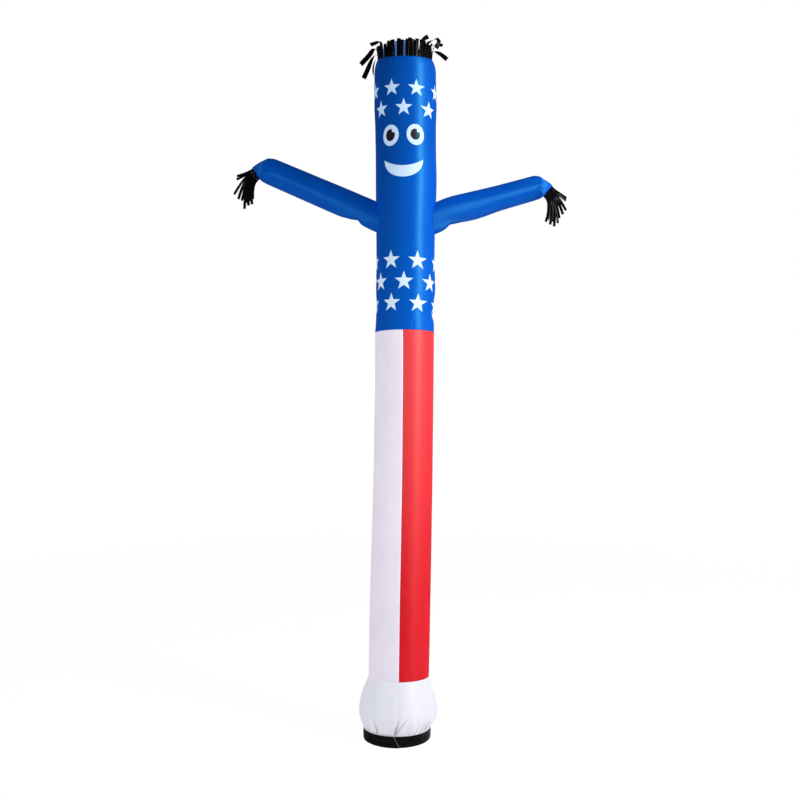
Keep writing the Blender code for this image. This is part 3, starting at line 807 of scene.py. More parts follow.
# Painted light: the white cloth's strong glow gives a large share of its brightness and keeps it
# evenly bright all round. The skirt's glow is darkened in its folds as painted shade.
white_nylon = nylon("white_nylon", colour(0.50, 0.465, 0.53), colour(0.46, 0.43, 0.495), 0.58,
                    PLAIN_TINT, 1.12)
skirt_nylon = nylon("skirt_nylon", colour(0.47, 0.475, 0.52), colour(0.435, 0.44, 0.485), 0.58,
                    PLAIN_TINT, 1.12, fold_shade=0.55, seam=SKIRT_SEWN)
# Painted light: the red cloth's glow grows paler and pinker higher up, as a painted sheen from the
# high lamps.
RED_PAINTED_SHEEN_HIGH = colour(0.97, 0.172, 0.178)
RED_PAINTED_SHEEN_SPAN = (0.45, 1.75)             # heights from the cloth's own shade to that


def red_painted_sheen(tree, shade, across, along):
    """The red cloth bears no print; its glow grows paler higher up, as a painted sheen."""
    return shade, tree.mix(along.ramp(*RED_PAINTED_SHEEN_SPAN), shade, RED_PAINTED_SHEEN_HIGH)


red_nylon = nylon("red_nylon", colour(0.74, 0.002, 0.014), colour(0.67, 0.001, 0.011), 0.46,
                  colour(1.00, 0.45, 0.43), 0.32, printed=red_painted_sheen, stretch=0.65)
print("materials:", [material.name for material in bpy.data.materials])

# %% [markdown]
# ## The sleeves' shape
# A sleeve is a tube of the same nylon. It is sewn into an armhole, and its free end is
# pressed flat and sewn shut, with the near end of that seam low and the far end high.
# A curve with a bevel would stay round to the end. So each row gives a ring's top and
# underside in the sleeve's own plane, half its depth, and how far it has rolled over
# towards the flat seam.

# %% Rings of the sleeves
SLEEVE_RADIUS = 0.060       # turns an angle round a sleeve into metres of cloth

# top reach, top lift, under reach, under lift, half depth, roll
LEFT_SLEEVE = (
    (-0.060, 0.0615, -0.060, -0.0620, 0.0590, 0.00),
    (0.000, 0.0615, 0.000, -0.0615, 0.0595, 0.00),
    (0.046, 0.0612, 0.046, -0.0580, 0.0600, 0.00),
    (0.070, 0.0610, 0.070, -0.0480, 0.0610, 0.00),
    (0.098, 0.0610, 0.098, -0.0535, 0.0605, 0.00),
    (0.160, 0.0608, 0.160, -0.0605, 0.0595, 0.00),
    (0.310, 0.0590, 0.310, -0.0590, 0.0580, 0.00),
    (0.440, 0.0575, 0.440, -0.0575, 0.0580, 0.00),
    (0.492, 0.0570, 0.470, -0.0572, 0.0600, 0.05),
    (0.524, 0.0505, 0.492, -0.0570, 0.0630, 0.18),
    (0.549, 0.0330, 0.508, -0.0562, 0.0670, 0.42),
    (0.576, 0.0080, 0.512, -0.0553, 0.0730, 0.72),
    (0.589, -0.0115, 0.513, -0.0547, 0.0770, 0.94),
)
RIGHT_SLEEVE = (
    (-0.060, 0.0560, -0.060, -0.0760, 0.0600, 0.00),
    (0.000, 0.0565, 0.000, -0.0715, 0.0600, 0.00),
    (0.028, 0.0590, 0.028, -0.0640, 0.0600, 0.00),
    (0.055, 0.0618, 0.055, -0.0532, 0.0605, 0.00),
    (0.090, 0.0634, 0.090, -0.0545, 0.0600, 0.00),
    (0.165, 0.0600, 0.165, -0.0600, 0.0585, 0.00),
    (0.290, 0.0545, 0.290, -0.0530, 0.0560, 0.00),
    (0.400, 0.0525, 0.400, -0.0518, 0.0545, 0.00),
    (0.450, 0.0516, 0.422, -0.0516, 0.0555, 0.05),
    (0.477, 0.0440, 0.441, -0.0514, 0.0585, 0.18),
    (0.498, 0.0270, 0.454, -0.0508, 0.0620, 0.42),
    (0.522, 0.0075, 0.457, -0.0503, 0.0670, 0.72),
    (0.533, -0.0060, 0.458, -0.0498, 0.0700, 0.94),
)
print("rings:", len(LEFT_SLEEVE), "in the left sleeve,", len(RIGHT_SLEEVE), "in the right")

# %% A sleeve as a surface
class Sleeve:
    """A sleeve, read from its rings by how far along it a place lies."""

    def __init__(self, side, sideways, height, slope, rings):
        angle = math.radians(slope)
        self.side = side
        self.start = Vector((sideways, 0.0, height))
        self.along = Vector((side * math.cos(angle), 0.0, math.sin(angle)))
        self.upward = Vector((-side * math.sin(angle), 0.0, math.cos(angle)))
        rows = [((row[0] + row[2]) / 2, *row) for row in rings]
        self.first = rows[0][0]
        self.last = rows[-1][0]
        self.read = [smooth_column(rows, index) for index in range(1, 7)]
        self.end = rings[-1]

    def place(self, reach, turn, out=0.0):
        """A point on the sleeve's outer face; turn 0 is in front and a quarter turn on top."""
        top_reach, top_lift, under_reach, under_lift, depth, roll = [f(reach) for f in self.read]
        top = self.start + self.along * top_reach + self.upward * top_lift
        under = self.start + self.along * under_reach + self.upward * under_lift
        middle = self.start + self.along * (top_reach + under_reach) / 2
        spread = math.hypot(1.0 - roll, roll)
        share = (math.sin(turn) * (1.0 - roll) - math.cos(turn) * roll) / spread
        centre = middle.lerp((top + under) / 2, roll)
        arm = (top if share > 0.0 else under) - centre
        lift = arm * abs(share) * (1.0 + out / arm.length)
        return centre + lift + Vector((0.0, -math.cos(turn) * (depth + out), 0.0))


SLEEVES = {
    "left": Sleeve(-1, -0.1014, 2.3127, 23.0, LEFT_SLEEVE),
    "right": Sleeve(1, 0.1539, 2.3155, 15.7, RIGHT_SLEEVE),
}
for name, sleeve in SLEEVES.items():
    print(name, "sleeve reaches", round(sleeve.last, 3), "m")

# %% [markdown]
# ## The blue sheet
# One sheet of blue nylon makes the upper tube, from the waist seam to the rim. It is
# drawn together a little at the waist, at the rim's hem and round the armholes. There
# is one real dent, on the right just above the waist, with slanting creases below it.
#
# The armholes could be left out of the grid, but their edge would then have steps. A
# Boolean cuts them cleanly: each cutter is as wide as the inside of its sleeve. They
# are cut after the sheet has its thickness, and the cutters go away.

# %% Creases and seam waves of the blue sheet
# depth, reach, pitch, seed
WAIST_WAVE = (0.0011, 0.020, 0.0155, 1.3)
RIM_WAVE = (0.0008, 0.022, 0.0135, 5.0)
ARMHOLE_WAVE = (0.0011, 0.022, 0.0165)          # its seeds follow the sleeves
ARMHOLE_SEED = 2.0
ARMHOLE_LEVELS = (2.15, 2.5)                    # heights between which the waves lie
# middle across, middle along, half length, half width, depth, slant
BLUE_CREASES = (
    (0.196, 1.886, 0.034, 0.013, 0.0060, 4.0),
    (0.140, 1.866, 0.040, 0.008, 0.0042, 40.0),
    (0.134, 1.906, 0.034, 0.007, 0.0032, 30.0),
    (0.156, 1.936, 0.034, 0.008, 0.0030, 34.0),
    (0.150, 1.838, 0.034, 0.007, 0.0034, 36.0),
    (0.196, 1.960, 0.022, 0.010, 0.0030, 4.0),
    (0.198, 2.030, 0.022, 0.010, 0.0026, -4.0),
    (-0.206, 2.034, 0.022, 0.010, 0.0026, 4.0),
    (-0.204, 1.902, 0.024, 0.010, 0.0028, -6.0),
    (0.224, 1.862, 0.028, 0.007, 0.0026, -34.0),
    (0.120, 1.838, 0.030, 0.007, 0.0014, 58.0),
    (-0.180, 1.850, 0.034, 0.009, 0.0012, -50.0),
    (-0.290, 1.960, 0.050, 0.012, 0.0014, 64.0),
    (0.310, 2.060, 0.046, 0.012, 0.0014, -58.0),
    (-0.060, 1.832, 0.022, 0.007, 0.0007, -70.0),
    (0.036, 1.834, 0.024, 0.007, 0.0007, 74.0),
    (0.130, 2.236, 0.028, 0.008, 0.0014, 62.0),
    (0.108, 2.300, 0.026, 0.006, 0.0010, 20.0),
    (0.112, 2.370, 0.026, 0.007, 0.0012, -32.0),
    (-0.128, 2.222, 0.028, 0.008, 0.0014, -60.0),
    (-0.108, 2.352, 0.028, 0.007, 0.0010, 30.0),
    (0.300, 2.400, 0.040, 0.010, 0.0012, -36.0),
    (-0.300, 2.390, 0.040, 0.010, 0.0012, 34.0),
    (-0.190, 2.900, 0.030, 0.009, 0.0009, 60.0),
    (0.200, 2.896, 0.034, 0.009, 0.0009, -66.0),
    (0.370, 2.700, 0.060, 0.014, 0.0010, 80.0),
)
print("creases in the blue sheet:", len(BLUE_CREASES))

# %% The blue sheet's surface
def armhole_wave(point):
    """How far in the cloth lies at a place beside the armholes."""
    deep = 0.0
    for seed, sleeve in enumerate(SLEEVES.values()):
        step = point - sleeve.start
        if abs(step.dot(sleeve.along)) > 1.5 * SLEEVE_RADIUS:
            continue
        lift = step.dot(sleeve.upward)
        ring = math.hypot(lift, step.y)
        around = math.atan2(lift, -step.y) * SLEEVE_RADIUS
        deep += pucker(ring - SLEEVE_RADIUS, around, *ARMHOLE_WAVE, ARMHOLE_SEED + seed)
    return deep


def blue_place(a, b):
    azimuth = math.tau * a - math.pi
    height = WAIST + GAP / 2 + (RIM - WAIST - GAP / 2) * b
    across = azimuth * MEAN_RADIUS
    deep = crease(BLUE_CREASES, across, height)
    deep += pucker(height - WAIST, across, *WAIST_WAVE)
    deep += pucker(RIM - height, across, *RIM_WAVE)
    if ARMHOLE_LEVELS[0] < height < ARMHOLE_LEVELS[1]:
        deep += armhole_wave(blue_tube.place(height, azimuth))
    return blue_tube.place(height, azimuth, -abs(deep))


def tube_flat(a, b):
    return ((math.tau * a - math.pi) * MEAN_RADIUS, WAIST + (RIM - WAIST) * b)


print("the back seam is", round(blue_place(0.0, 0.5).y, 3), "m behind the middle")

# %% Cutters for the armholes
PLUG_SIDES = 48
PLUG_REACHES = (-0.058, -0.03, 0.0, 0.03, 0.06, 0.09)


def sleeve_cutter(sleeve):
    """A plug as wide as the inside of a sleeve's root."""
    bm = bmesh.new()
    rings = []
    for reach in PLUG_REACHES:
        rings.append([bm.verts.new(sleeve.place(reach, math.tau * k / PLUG_SIDES, -CLOTH))
                      for k in range(PLUG_SIDES)])
    for low, high in zip(rings, rings[1:]):
        for k in range(PLUG_SIDES):
            n = (k + 1) % PLUG_SIDES
            bm.faces.new((low[k], low[n], high[n], high[k]))
    bm.faces.new(rings[0])
    bm.faces.new(rings[-1])
    bmesh.ops.recalc_face_normals(bm, faces=bm.faces)
    mesh = bpy.data.meshes.new("plug")
    bm.to_mesh(mesh)
    bm.free()
    plug = bpy.data.objects.new("plug", mesh)
    scene.collection.objects.link(plug)
    return plug


plugs = [sleeve_cutter(sleeve) for sleeve in SLEEVES.values()]
print("plugs:", len(plugs))

# %% The blue sheet with its armholes
blue_sheet = cloth_grid("blue_sheet", 160, 220, blue_place, tube_flat, closed=True)
give_thickness(blue_sheet)
for plug in plugs:
    hole = blue_sheet.modifiers.new("armhole", "BOOLEAN")
    hole.operation = "DIFFERENCE"
    hole.solver = "EXACT"
    hole.object = plug
shaped = blue_sheet.evaluated_get(bpy.context.evaluated_depsgraph_get())
blue_sheet.data = bpy.data.meshes.new_from_object(shaped)
blue_sheet.modifiers.clear()
for plug in plugs:
    bpy.data.objects.remove(plug, do_unlink=True)
finish_piece(blue_sheet, ["body_blue"], blue_print)
keep_off(softboxes["left_softbox"], blue_sheet)

# %% [markdown]
# ## The sleeves
# Each sleeve stands out because air fills it. Its root follows the tube's round face,
# and there it has small puckers where it is sewn on. A short kink on the underside
# shows where the sleeve bends upwards. A second Boolean could trim the root, but it
# would leave ragged faces along a long cut. Instead each column of the grid starts
# where it meets the tube, which a search by halves finds.

# %% Creases and seam waves of the sleeves
# depth, reach, pitch, seed
ROOT_WAVE = (0.0009, 0.016, 0.0165, 4.0)
HAND_WAVE = (0.0012, 0.020, 0.0130, 7.0)
# middle across, middle along, half length, half width, depth, slant
SLEEVE_CREASES = {
    "left": (
        (-0.085, 0.072, 0.050, 0.010, 0.0016, 4.0),
        (-0.100, 0.052, 0.030, 0.006, 0.0010, -12.0),
        (-0.060, 0.094, 0.030, 0.007, 0.0009, 18.0),
        (-0.030, 0.500, 0.030, 0.008, 0.0012, -30.0),
        (0.000, 0.530, 0.026, 0.006, 0.0010, 24.0),
        (0.060, 0.540, 0.030, 0.007, 0.0011, 62.0),
        (0.120, 0.300, 0.040, 0.010, 0.0008, 80.0),
    ),
    "right": (
        (-0.085, 0.052, 0.052, 0.010, 0.0016, -4.0),
        (-0.100, 0.032, 0.030, 0.006, 0.0010, 10.0),
        (-0.060, 0.075, 0.030, 0.007, 0.0009, -16.0),
        (-0.014, 0.444, 0.018, 0.0050, 0.0046, 24.0),
        (-0.024, 0.462, 0.020, 0.0042, 0.0036, 8.0),
        (-0.004, 0.482, 0.020, 0.0045, 0.0040, -14.0),
        (0.014, 0.462, 0.022, 0.0050, 0.0040, 58.0),
        (0.008, 0.498, 0.016, 0.0038, 0.0026, 30.0),
        (0.060, 0.500, 0.026, 0.007, 0.0010, 66.0),
        (0.110, 0.260, 0.040, 0.010, 0.0008, 84.0),
    ),
}
print("creases:", {name: len(rows) for name, rows in SLEEVE_CREASES.items()})

# %% A sleeve's root
ROOT_BITE = 0.0012          # how far a root sits into the tube's puckered cloth
ROOT_END = 0.12             # a reach that lies outside the tube at every turn
HALVINGS = 40


def sleeve_root(sleeve, turn):
    """How far along the sleeve its root meets the tube, at one turn."""
    low, high = sleeve.first, ROOT_END
    for _step in range(HALVINGS):
        middle = (low + high) / 2
        point = sleeve.place(middle, turn)
        away = math.hypot(point.x - blue_tube.centre(point.z), point.y)
        if away < blue_tube.radius(point.z) - ROOT_BITE:
            low = middle
        else:
            high = middle
    return high


for name, sleeve in SLEEVES.items():
    print(name, "sleeve's root in front:", round(sleeve_root(sleeve, 0.0), 4), "m along")

# %% Two sleeves
SLEEVE_END = 0.006          # the last rows of the grid lie doubled over the flat seam


def make_sleeve(name):
    sleeve = SLEEVES[name]
    roots = {}

    def reach_at(a, b):
        if a not in roots:
            roots[a] = sleeve_root(sleeve, math.tau * a - math.pi)
        return roots[a] + (sleeve.last + SLEEVE_END - roots[a]) * b

    def place(a, b):
        turn = math.tau * a - math.pi
        reach = reach_at(a, b)
        around = turn * SLEEVE_RADIUS
        deep = crease(SLEEVE_CREASES[name], around, reach)
        deep += pucker(reach - roots[a], around, *ROOT_WAVE)
        deep += pucker(sleeve.last - reach, around, *HAND_WAVE)
        return sleeve.place(min(reach, sleeve.last), turn, -abs(deep))

    def flat(a, b):
        share = min(a, 1.0)
        return ((math.tau * share - math.pi) * SLEEVE_RADIUS, reach_at(share % 1.0, b))

    piece = cloth_grid("blue_sleeve_" + name, 112, 190, place, flat, closed=True)
    give_thickness(piece)
    finish_piece(piece, ["sleeve_" + name], blue_sleeves[name])
    return piece


sleeve_pieces = {name: make_sleeve(name) for name in SLEEVES}
keep_off(softboxes["strip_light"], sleeve_pieces["left"])

# %% [markdown]
# ## The lower panels
# Three panels make the lower tube: a white one on the left, a red one in front on the
# right, and a second red one behind it. One tube with two materials would look alike
# from afar, but real panels meet in long seams, which are drawn in a little, with small
# waves on both sides. So each panel is a grid of its own between two seams.

# %% Levels and seams of the lower tube
# height, sideways centre, radius
PANEL_LEVELS = (
    (SKIRT_SEAM, -0.0055, 0.1350),
    (0.450, -0.0024, 0.1354),
    (0.630, 0.0008, 0.1349),
    (0.800, 0.0050, 0.1336),
    (0.960, 0.0085, 0.1322),
    (1.170, 0.0129, 0.1307),
    (1.380, 0.0158, 0.1296),
    (1.600, 0.0186, 0.1287),
    (WAIST, 0.0200, 0.1285),
)
panel_tube = Tube(PANEL_LEVELS)

# azimuth at the waist and at the skirt
FRONT_SEAM = (-3.2, 0.0)
SIDE_SEAM = (67.0, 67.0)
BACK_SEAM = (177.0, 177.0)
BACK_SEAM_LEFT = tuple(azimuth - 360.0 for azimuth in BACK_SEAM)    # the same, from the left
SEAM_EASE = 0.0002          # how much further than its half gap a panel's edge stays back
# depth, reach, pitch, seed
SKIRT_SEAM_WAVE = (0.0012, 0.018, 0.0145, 6.0)
LONG_SEAM_WAVE = (0.0007, 0.010, 0.021)         # its seed is the seam's azimuth
LONG_SEAM_GROOVE = (0.0006, 0.0022)             # depth, half width
# middle across, middle along, half length, half width, depth, slant
PANEL_CREASES = (
    (0.055, 1.780, 0.030, 0.008, 0.0008, 70.0),
    (-0.070, 1.784, 0.028, 0.008, 0.0008, -72.0),
    (0.120, 1.770, 0.030, 0.008, 0.0010, -64.0),
    (0.096, 0.312, 0.026, 0.007, 0.0014, 58.0),
    (0.126, 0.300, 0.022, 0.006, 0.0012, 80.0),
    (0.040, 0.306, 0.024, 0.006, 0.0008, -70.0),
    (-0.050, 0.304, 0.026, 0.007, 0.0008, 74.0),
    (-0.130, 0.310, 0.028, 0.008, 0.0012, -58.0),
    (-0.300, 0.900, 0.090, 0.014, 0.0010, 82.0),
    (0.300, 1.100, 0.090, 0.014, 0.0010, -80.0),
    (-0.260, 1.500, 0.060, 0.012, 0.0010, 70.0),
    (0.260, 0.520, 0.060, 0.012, 0.0010, -66.0),
)
print("radius at the skirt:", panel_tube.radius(SKIRT_SEAM), "m")

# %% Three panels
PANEL_GRID_ROWS = 240


def seam_azimuth(seam, height):
    """Where a seam lies at one height, in radians."""
    share = (height - SKIRT_SEAM) / (WAIST - SKIRT_SEAM)
    return math.radians(seam[1] + (seam[0] - seam[1]) * share)


def make_panel(name, node, left_seam, right_seam, columns, material):
    def spot(a, b):
        height = SKIRT_SEAM + GAP / 2 + (WAIST - SKIRT_SEAM - GAP) * b
        low = seam_azimuth(left_seam, height)
        high = seam_azimuth(right_seam, height)
        half_gap = (GAP / 2 + SEAM_EASE) / panel_tube.radius(height)
        return height, low + half_gap + (high - low - 2 * half_gap) * a, low, high

    def place(a, b):
        height, azimuth, low, high = spot(a, b)
        across = azimuth * MEAN_RADIUS
        deep = crease(PANEL_CREASES, across, height)
        deep += pucker(WAIST - height, across, *WAIST_WAVE)
        deep += pucker(height - SKIRT_SEAM, across, *SKIRT_SEAM_WAVE)
        groove, groove_half = LONG_SEAM_GROOVE
        for edge, seed in ((low, left_seam[1] % 360.0), (high, right_seam[1] % 360.0)):
            away = abs(azimuth - edge) * MEAN_RADIUS
            deep += abs(pucker(away, height, *LONG_SEAM_WAVE, seed))
            deep += groove * math.exp(-(away / groove_half) ** 2)
        return panel_tube.place(height, azimuth, -abs(deep))

    def flat(a, b):
        height, azimuth, _low, _high = spot(a, b)
        return (azimuth * MEAN_RADIUS, height)

    panel = cloth_grid(name, columns, PANEL_GRID_ROWS, place, flat)
    give_thickness(panel)
    finish_piece(panel, [node], material)


make_panel("white_panel", "panel_white", BACK_SEAM_LEFT, FRONT_SEAM, 80,
           white_nylon)
make_panel("red_front_panel", "panel_red_front", FRONT_SEAM, SIDE_SEAM, 32,
           red_nylon)
make_panel("red_side_panel", "panel_red_side", SIDE_SEAM, BACK_SEAM, 48,
           red_nylon)

# %% [markdown]
# ## The skirt
# The skirt is a wider piece of white nylon. Air makes it bulge, and at the bottom its
# hem is gathered into the strap's ring. The gathers are deep at the strap and fade
# upwards, and between them the cloth puffs out. A cloth simulation with a tightening
# hem would gather it at random. Here the wide gathers and the narrow folds are rows of
# two tables, so that each lies where the real cloth has one.

# %% Levels and gathers of the skirt
# height, sideways centre, radius, share of the gathers' full depth
SKIRT_LEVELS = (
    (0.012, -0.0137, 0.1486, 0.00),
    (0.046, -0.0137, 0.1486, 0.05),
    (0.053, -0.0130, 0.1550, 0.55),
    (0.064, -0.0115, 0.1608, 1.00),
    (0.080, -0.0100, 0.1676, 0.85),
    (0.100, -0.0088, 0.1736, 0.45),
    (0.124, -0.0086, 0.1754, 0.15),
    (0.162, -0.0090, 0.1706, 0.00),
    (0.205, -0.0092, 0.1608, 0.00),
    (0.246, -0.0070, 0.1458, 0.00),
    (SKIRT_SEAM, -0.0055, 0.1350, 0.00),
)
skirt_tube = Tube(SKIRT_LEVELS)

# azimuth at the strap, half width and lean in degrees, depth in metres
GATHERS = (
    (-156.0, 7.0, 3.0, 0.007),
    (-131.0, 6.0, -2.0, 0.005),
    (-106.0, 7.0, 2.0, 0.008),
    (-82.0, 6.0, -3.0, 0.005),
    (-57.0, 6.0, 2.0, 0.004),
    (-32.0, 5.0, -3.0, 0.008),
    (-4.0, 6.0, 5.0, 0.010),
    (13.0, 5.0, 5.0, 0.005),
    (38.0, 5.0, 3.0, 0.005),
    (53.0, 5.0, 1.0, 0.006),
    (78.0, 6.0, 2.0, 0.005),
    (103.0, 7.0, -3.0, 0.008),
    (128.0, 6.0, 2.0, 0.005),
    (153.0, 7.0, -2.0, 0.007),
    (178.0, 6.0, 2.0, 0.006),
)
GATHER_PUFF = 0.0015        # how far the cloth stands out between two gathers
print("gathers:", len(GATHERS))

# %% Narrow folds and creases of the skirt
STRAP_RIM = 0.050           # height where the folds go under the strap
FLAT_HEM = 0.040            # height under which they lie pressed flat
PRESSED = -0.006            # how far in a fold may lie between those two heights
FOLD_LEAD = 0.15            # how far above its top a fold begins, as a share of its length
# narrow folds: azimuth at the top and at the strap, height of the top, depth, half width
SKIRT_FOLDS = (
    (-37.5, -35.5, 0.128, 0.0080, 0.0028),
    (-24.0, -25.0, 0.088, 0.0035, 0.0028),
    (-60.0, -57.0, 0.104, 0.0040, 0.0032),
    (-77.0, -75.0, 0.112, 0.0045, 0.0032),
    (2.5, -3.6, 0.132, 0.0105, 0.0029),
    (17.5, -1.0, 0.140, 0.0075, 0.0030),
    (21.0, 20.0, 0.090, 0.0030, 0.0028),
    (34.0, 31.0, 0.124, 0.0045, 0.0030),
    (44.5, 44.0, 0.118, 0.0050, 0.0030),
    (58.0, 54.0, 0.132, 0.0050, 0.0032),
    (72.0, 70.0, 0.108, 0.0040, 0.0032),
    (91.0, 88.0, 0.124, 0.0050, 0.0034),
    (111.0, 113.0, 0.104, 0.0045, 0.0032),
    (134.0, 131.0, 0.126, 0.0055, 0.0034),
    (149.0, 151.0, 0.098, 0.0040, 0.0030),
    (172.0, 170.0, 0.122, 0.0050, 0.0034),
    (-168.0, -171.0, 0.104, 0.0045, 0.0032),
    (-146.0, -144.0, 0.126, 0.0055, 0.0034),
    (-122.0, -124.0, 0.108, 0.0045, 0.0032),
    (-97.0, -95.0, 0.122, 0.0050, 0.0032),
)
SKIRT_CREASES = (
    (0.086, 0.248, 0.020, 0.0060, 0.0012, 62.0),
    (0.112, 0.238, 0.024, 0.0060, 0.0012, 84.0),
    (-0.110, 0.246, 0.024, 0.0060, 0.0010, -64.0),
    (0.066, 0.108, 0.024, 0.0070, 0.0016, 64.0),
    (-0.066, 0.104, 0.026, 0.0070, 0.0016, -58.0),
    (0.120, 0.118, 0.026, 0.0070, 0.0014, 76.0),
    (-0.120, 0.112, 0.028, 0.0080, 0.0014, -80.0),
)
# small waves just above the strap: depth, pitch, seed, middle height, reach
RUMPLES = (0.0012, 0.0185, 3.0, 0.075, 0.05)
# the skirt's own seam: depth and half width of its groove, the height where it begins
SKIRT_GROOVE = (0.0006, 0.003, 0.13)
print("narrow folds:", len(SKIRT_FOLDS))

# %% Reading the gathers
def gather_columns():
    """Azimuth, lean and depth of each gather's sides and middle, and of the puffs."""
    made = []
    for k, (azimuth, half_width, lean, depth) in enumerate(GATHERS):
        following = GATHERS[(k + 1) % len(GATHERS)]
        next_start = following[0] - following[1] + (360.0 if k + 1 == len(GATHERS) else 0.0)
        own_end = azimuth + half_width
        made.append((azimuth - half_width, lean, 0.0))
        made.append((azimuth, lean, -depth))
        made.append((own_end, lean, 0.0))
        made.append(((own_end + next_start) / 2, (lean + following[2]) / 2, GATHER_PUFF))
    first = made[0]
    made.append((first[0] + 360.0, first[1], first[2]))
    return [(k, *row) for k, row in enumerate(made)]


gather_rows = gather_columns()
gather_azimuth, gather_lean, gather_bite = [smooth_column(gather_rows, n) for n in (1, 2, 3)]
skirt_rows = [(k, row[0], row[3]) for k, row in enumerate(SKIRT_LEVELS)]
skirt_height = smooth_column(skirt_rows, 1)
skirt_fullness = smooth_column(skirt_rows, 2)
skirt_radius = smooth_column([(k, row[2]) for k, row in enumerate(SKIRT_LEVELS)], 1)
print("columns through the gathers and puffs:", len(gather_rows))

# %% The skirt's surface
def fold_depth(azimuth, height, radius):
    """How far in the narrow folds lie; they deepen towards the strap."""
    depth = 0.0
    for top, low, top_height, deep, half_width in SKIRT_FOLDS:
        t = (top_height - height) / (top_height - STRAP_RIM)
        if t < -FOLD_LEAD:
            continue
        t = min(t, 1.0)
        middle = math.radians(low + (top - low) * (1.0 - t) ** 1.4 if t > 0.0 else top)
        away = ((azimuth - middle + math.pi) % math.tau - math.pi) * radius
        if abs(away) < 3.0 * half_width:
            grown = max(0.0, t + FOLD_LEAD) / (1.0 + FOLD_LEAD)
            depth += deep * grown ** 0.7 * math.exp(-(away / half_width) ** 2)
    return depth


def skirt_marks(across, height):
    """How far in the small marks lie: creases, puckers, rumples and the seam's groove."""
    deep = crease(SKIRT_CREASES, across, height)
    deep += abs(pucker(SKIRT_SEAM - height, across, *SKIRT_SEAM_WAVE))
    depth, pitch, seed, middle, reach = RUMPLES
    share = max(0.0, 1.0 - abs(height - middle) / reach)
    deep += depth * share * (0.5 + 0.5 * uneven_wave(across, pitch, seed))
    groove, groove_half, groove_start = SKIRT_GROOVE
    if height > groove_start:
        deep += groove * math.exp(-((across - SKIRT_SEWN) / groove_half) ** 2)
    return deep


def skirt_place(a, b):
    station = a * len(gather_rows[:-1])
    level = b * (len(SKIRT_LEVELS) - 1)
    height = min(skirt_height(level), SKIRT_SEAM - GAP / 2)
    hem = SKIRT_LEVELS[1][0]
    fade = max(0.0, (height - hem) / (SKIRT_SEAM - hem))
    lean = gather_lean(station) * math.sin(math.pi * fade)
    azimuth = math.radians(gather_azimuth(station) + lean)
    across = ((azimuth + math.pi) % math.tau - math.pi) * MEAN_RADIUS
    out = gather_bite(station) * skirt_fullness(level) - skirt_marks(across, height)
    out -= fold_depth(azimuth, height, skirt_radius(level))
    if height <= FLAT_HEM:
        out = 0.0
    elif height < STRAP_RIM:
        out = max(out * (height - FLAT_HEM) / (STRAP_RIM - FLAT_HEM), PRESSED)
    radius = skirt_radius(level) + out
    return Vector((
        skirt_tube.centre(height) + radius * math.sin(azimuth),
        -radius * math.cos(azimuth),
        height + ring_rise(height) * math.cos(azimuth),
    ))


def skirt_flat(a, b):
    azimuth = math.radians(gather_azimuth(a * len(gather_rows[:-1])))
    return (azimuth * MEAN_RADIUS, skirt_height(b * (len(SKIRT_LEVELS) - 1)))


print("the skirt's front at half its rows:", round(-skirt_place(0.5, 0.5).y, 3), "m out")

# %% The white skirt
skirt = cloth_grid("white_skirt", 600, 72, skirt_place, skirt_flat, closed=True)
give_thickness(skirt)
finish_piece(skirt, ["base_skirt"], skirt_nylon)

# %% [markdown]
# ## The strap
# A black strap goes round the skirt's hem. It is stiff woven webbing. Its outer end
# overlaps on the front and is cut on the slant, and a grey line along the cut edge is a
# painted highlight, where the edge catches the light. A closed ring could carry a drawn
# line for the end. A strip that really laps over itself shows its thickness and a shadow
# there, so it is a grid that goes round a little more than once.

# %% The webbing's shader
STRAP_LONG = 1.15           # length that the webbing's pattern is laid out on
GLINT_START = STRAP_LONG - 0.0026    # where the painted highlight along the outer end's cut edge starts
GLINT_BLEND = 0.0008            # over which the weave turns to the painted highlight's grey
PAINTED_GLINT_GREY = colour(0.22, 0.22, 0.23)
RIB_PITCH = 0.0021          # of the ribs that run round the strap
PICK_PITCH = 0.0017         # of the threads across them


def webbing(name, pale, deep):
    """Ribbed black webbing."""
    tree = Tree(name)
    flat, across, along = tree.cloth_place()
    rib = (along * (math.tau / RIB_PITCH)).sin()
    pick = (across * (math.tau / PICK_PITCH)).sin()
    weave = rib * 0.6 + rib * pick * 0.4
    cloud = tree.noise(flat, 24.0, 4.0)
    # The webbing lies slack, in soft waves that lean across it.
    slack = tree.noise(tree.stretched(across * 26.0 + along * 20.0, along * 34.0), 1.0, 2.5)
    bump = tree.wire("ShaderNodeBump", "Normal", None, {
        "Strength": 0.6,
        "Distance": 0.0012,
        "Height": weave * 0.05 + slack * 18.0,
    })
    woven = tree.mix((cloud + weave * 0.12).ramp(0.3, 0.8), deep, pale)
    surface = tree.wire("ShaderNodeBsdfPrincipled", "BSDF", None, {
        # Painted highlight: a grey line along the outer end's cut edge, where it catches the light.
        "Base Color": tree.mix(across.ramp(GLINT_START, GLINT_START + GLINT_BLEND), woven, PAINTED_GLINT_GREY),
        "Roughness": cloud * 0.2 + 0.14,
        "Specular IOR Level": 0.2,
        "Normal": bump,
    })
    return tree.finish(surface)


black_webbing = webbing("black_webbing", colour(0.003, 0.003, 0.0035),
                        colour(0.001, 0.001, 0.0012))
print(black_webbing.name, "has ribs", RIB_PITCH * 1000, "mm apart")

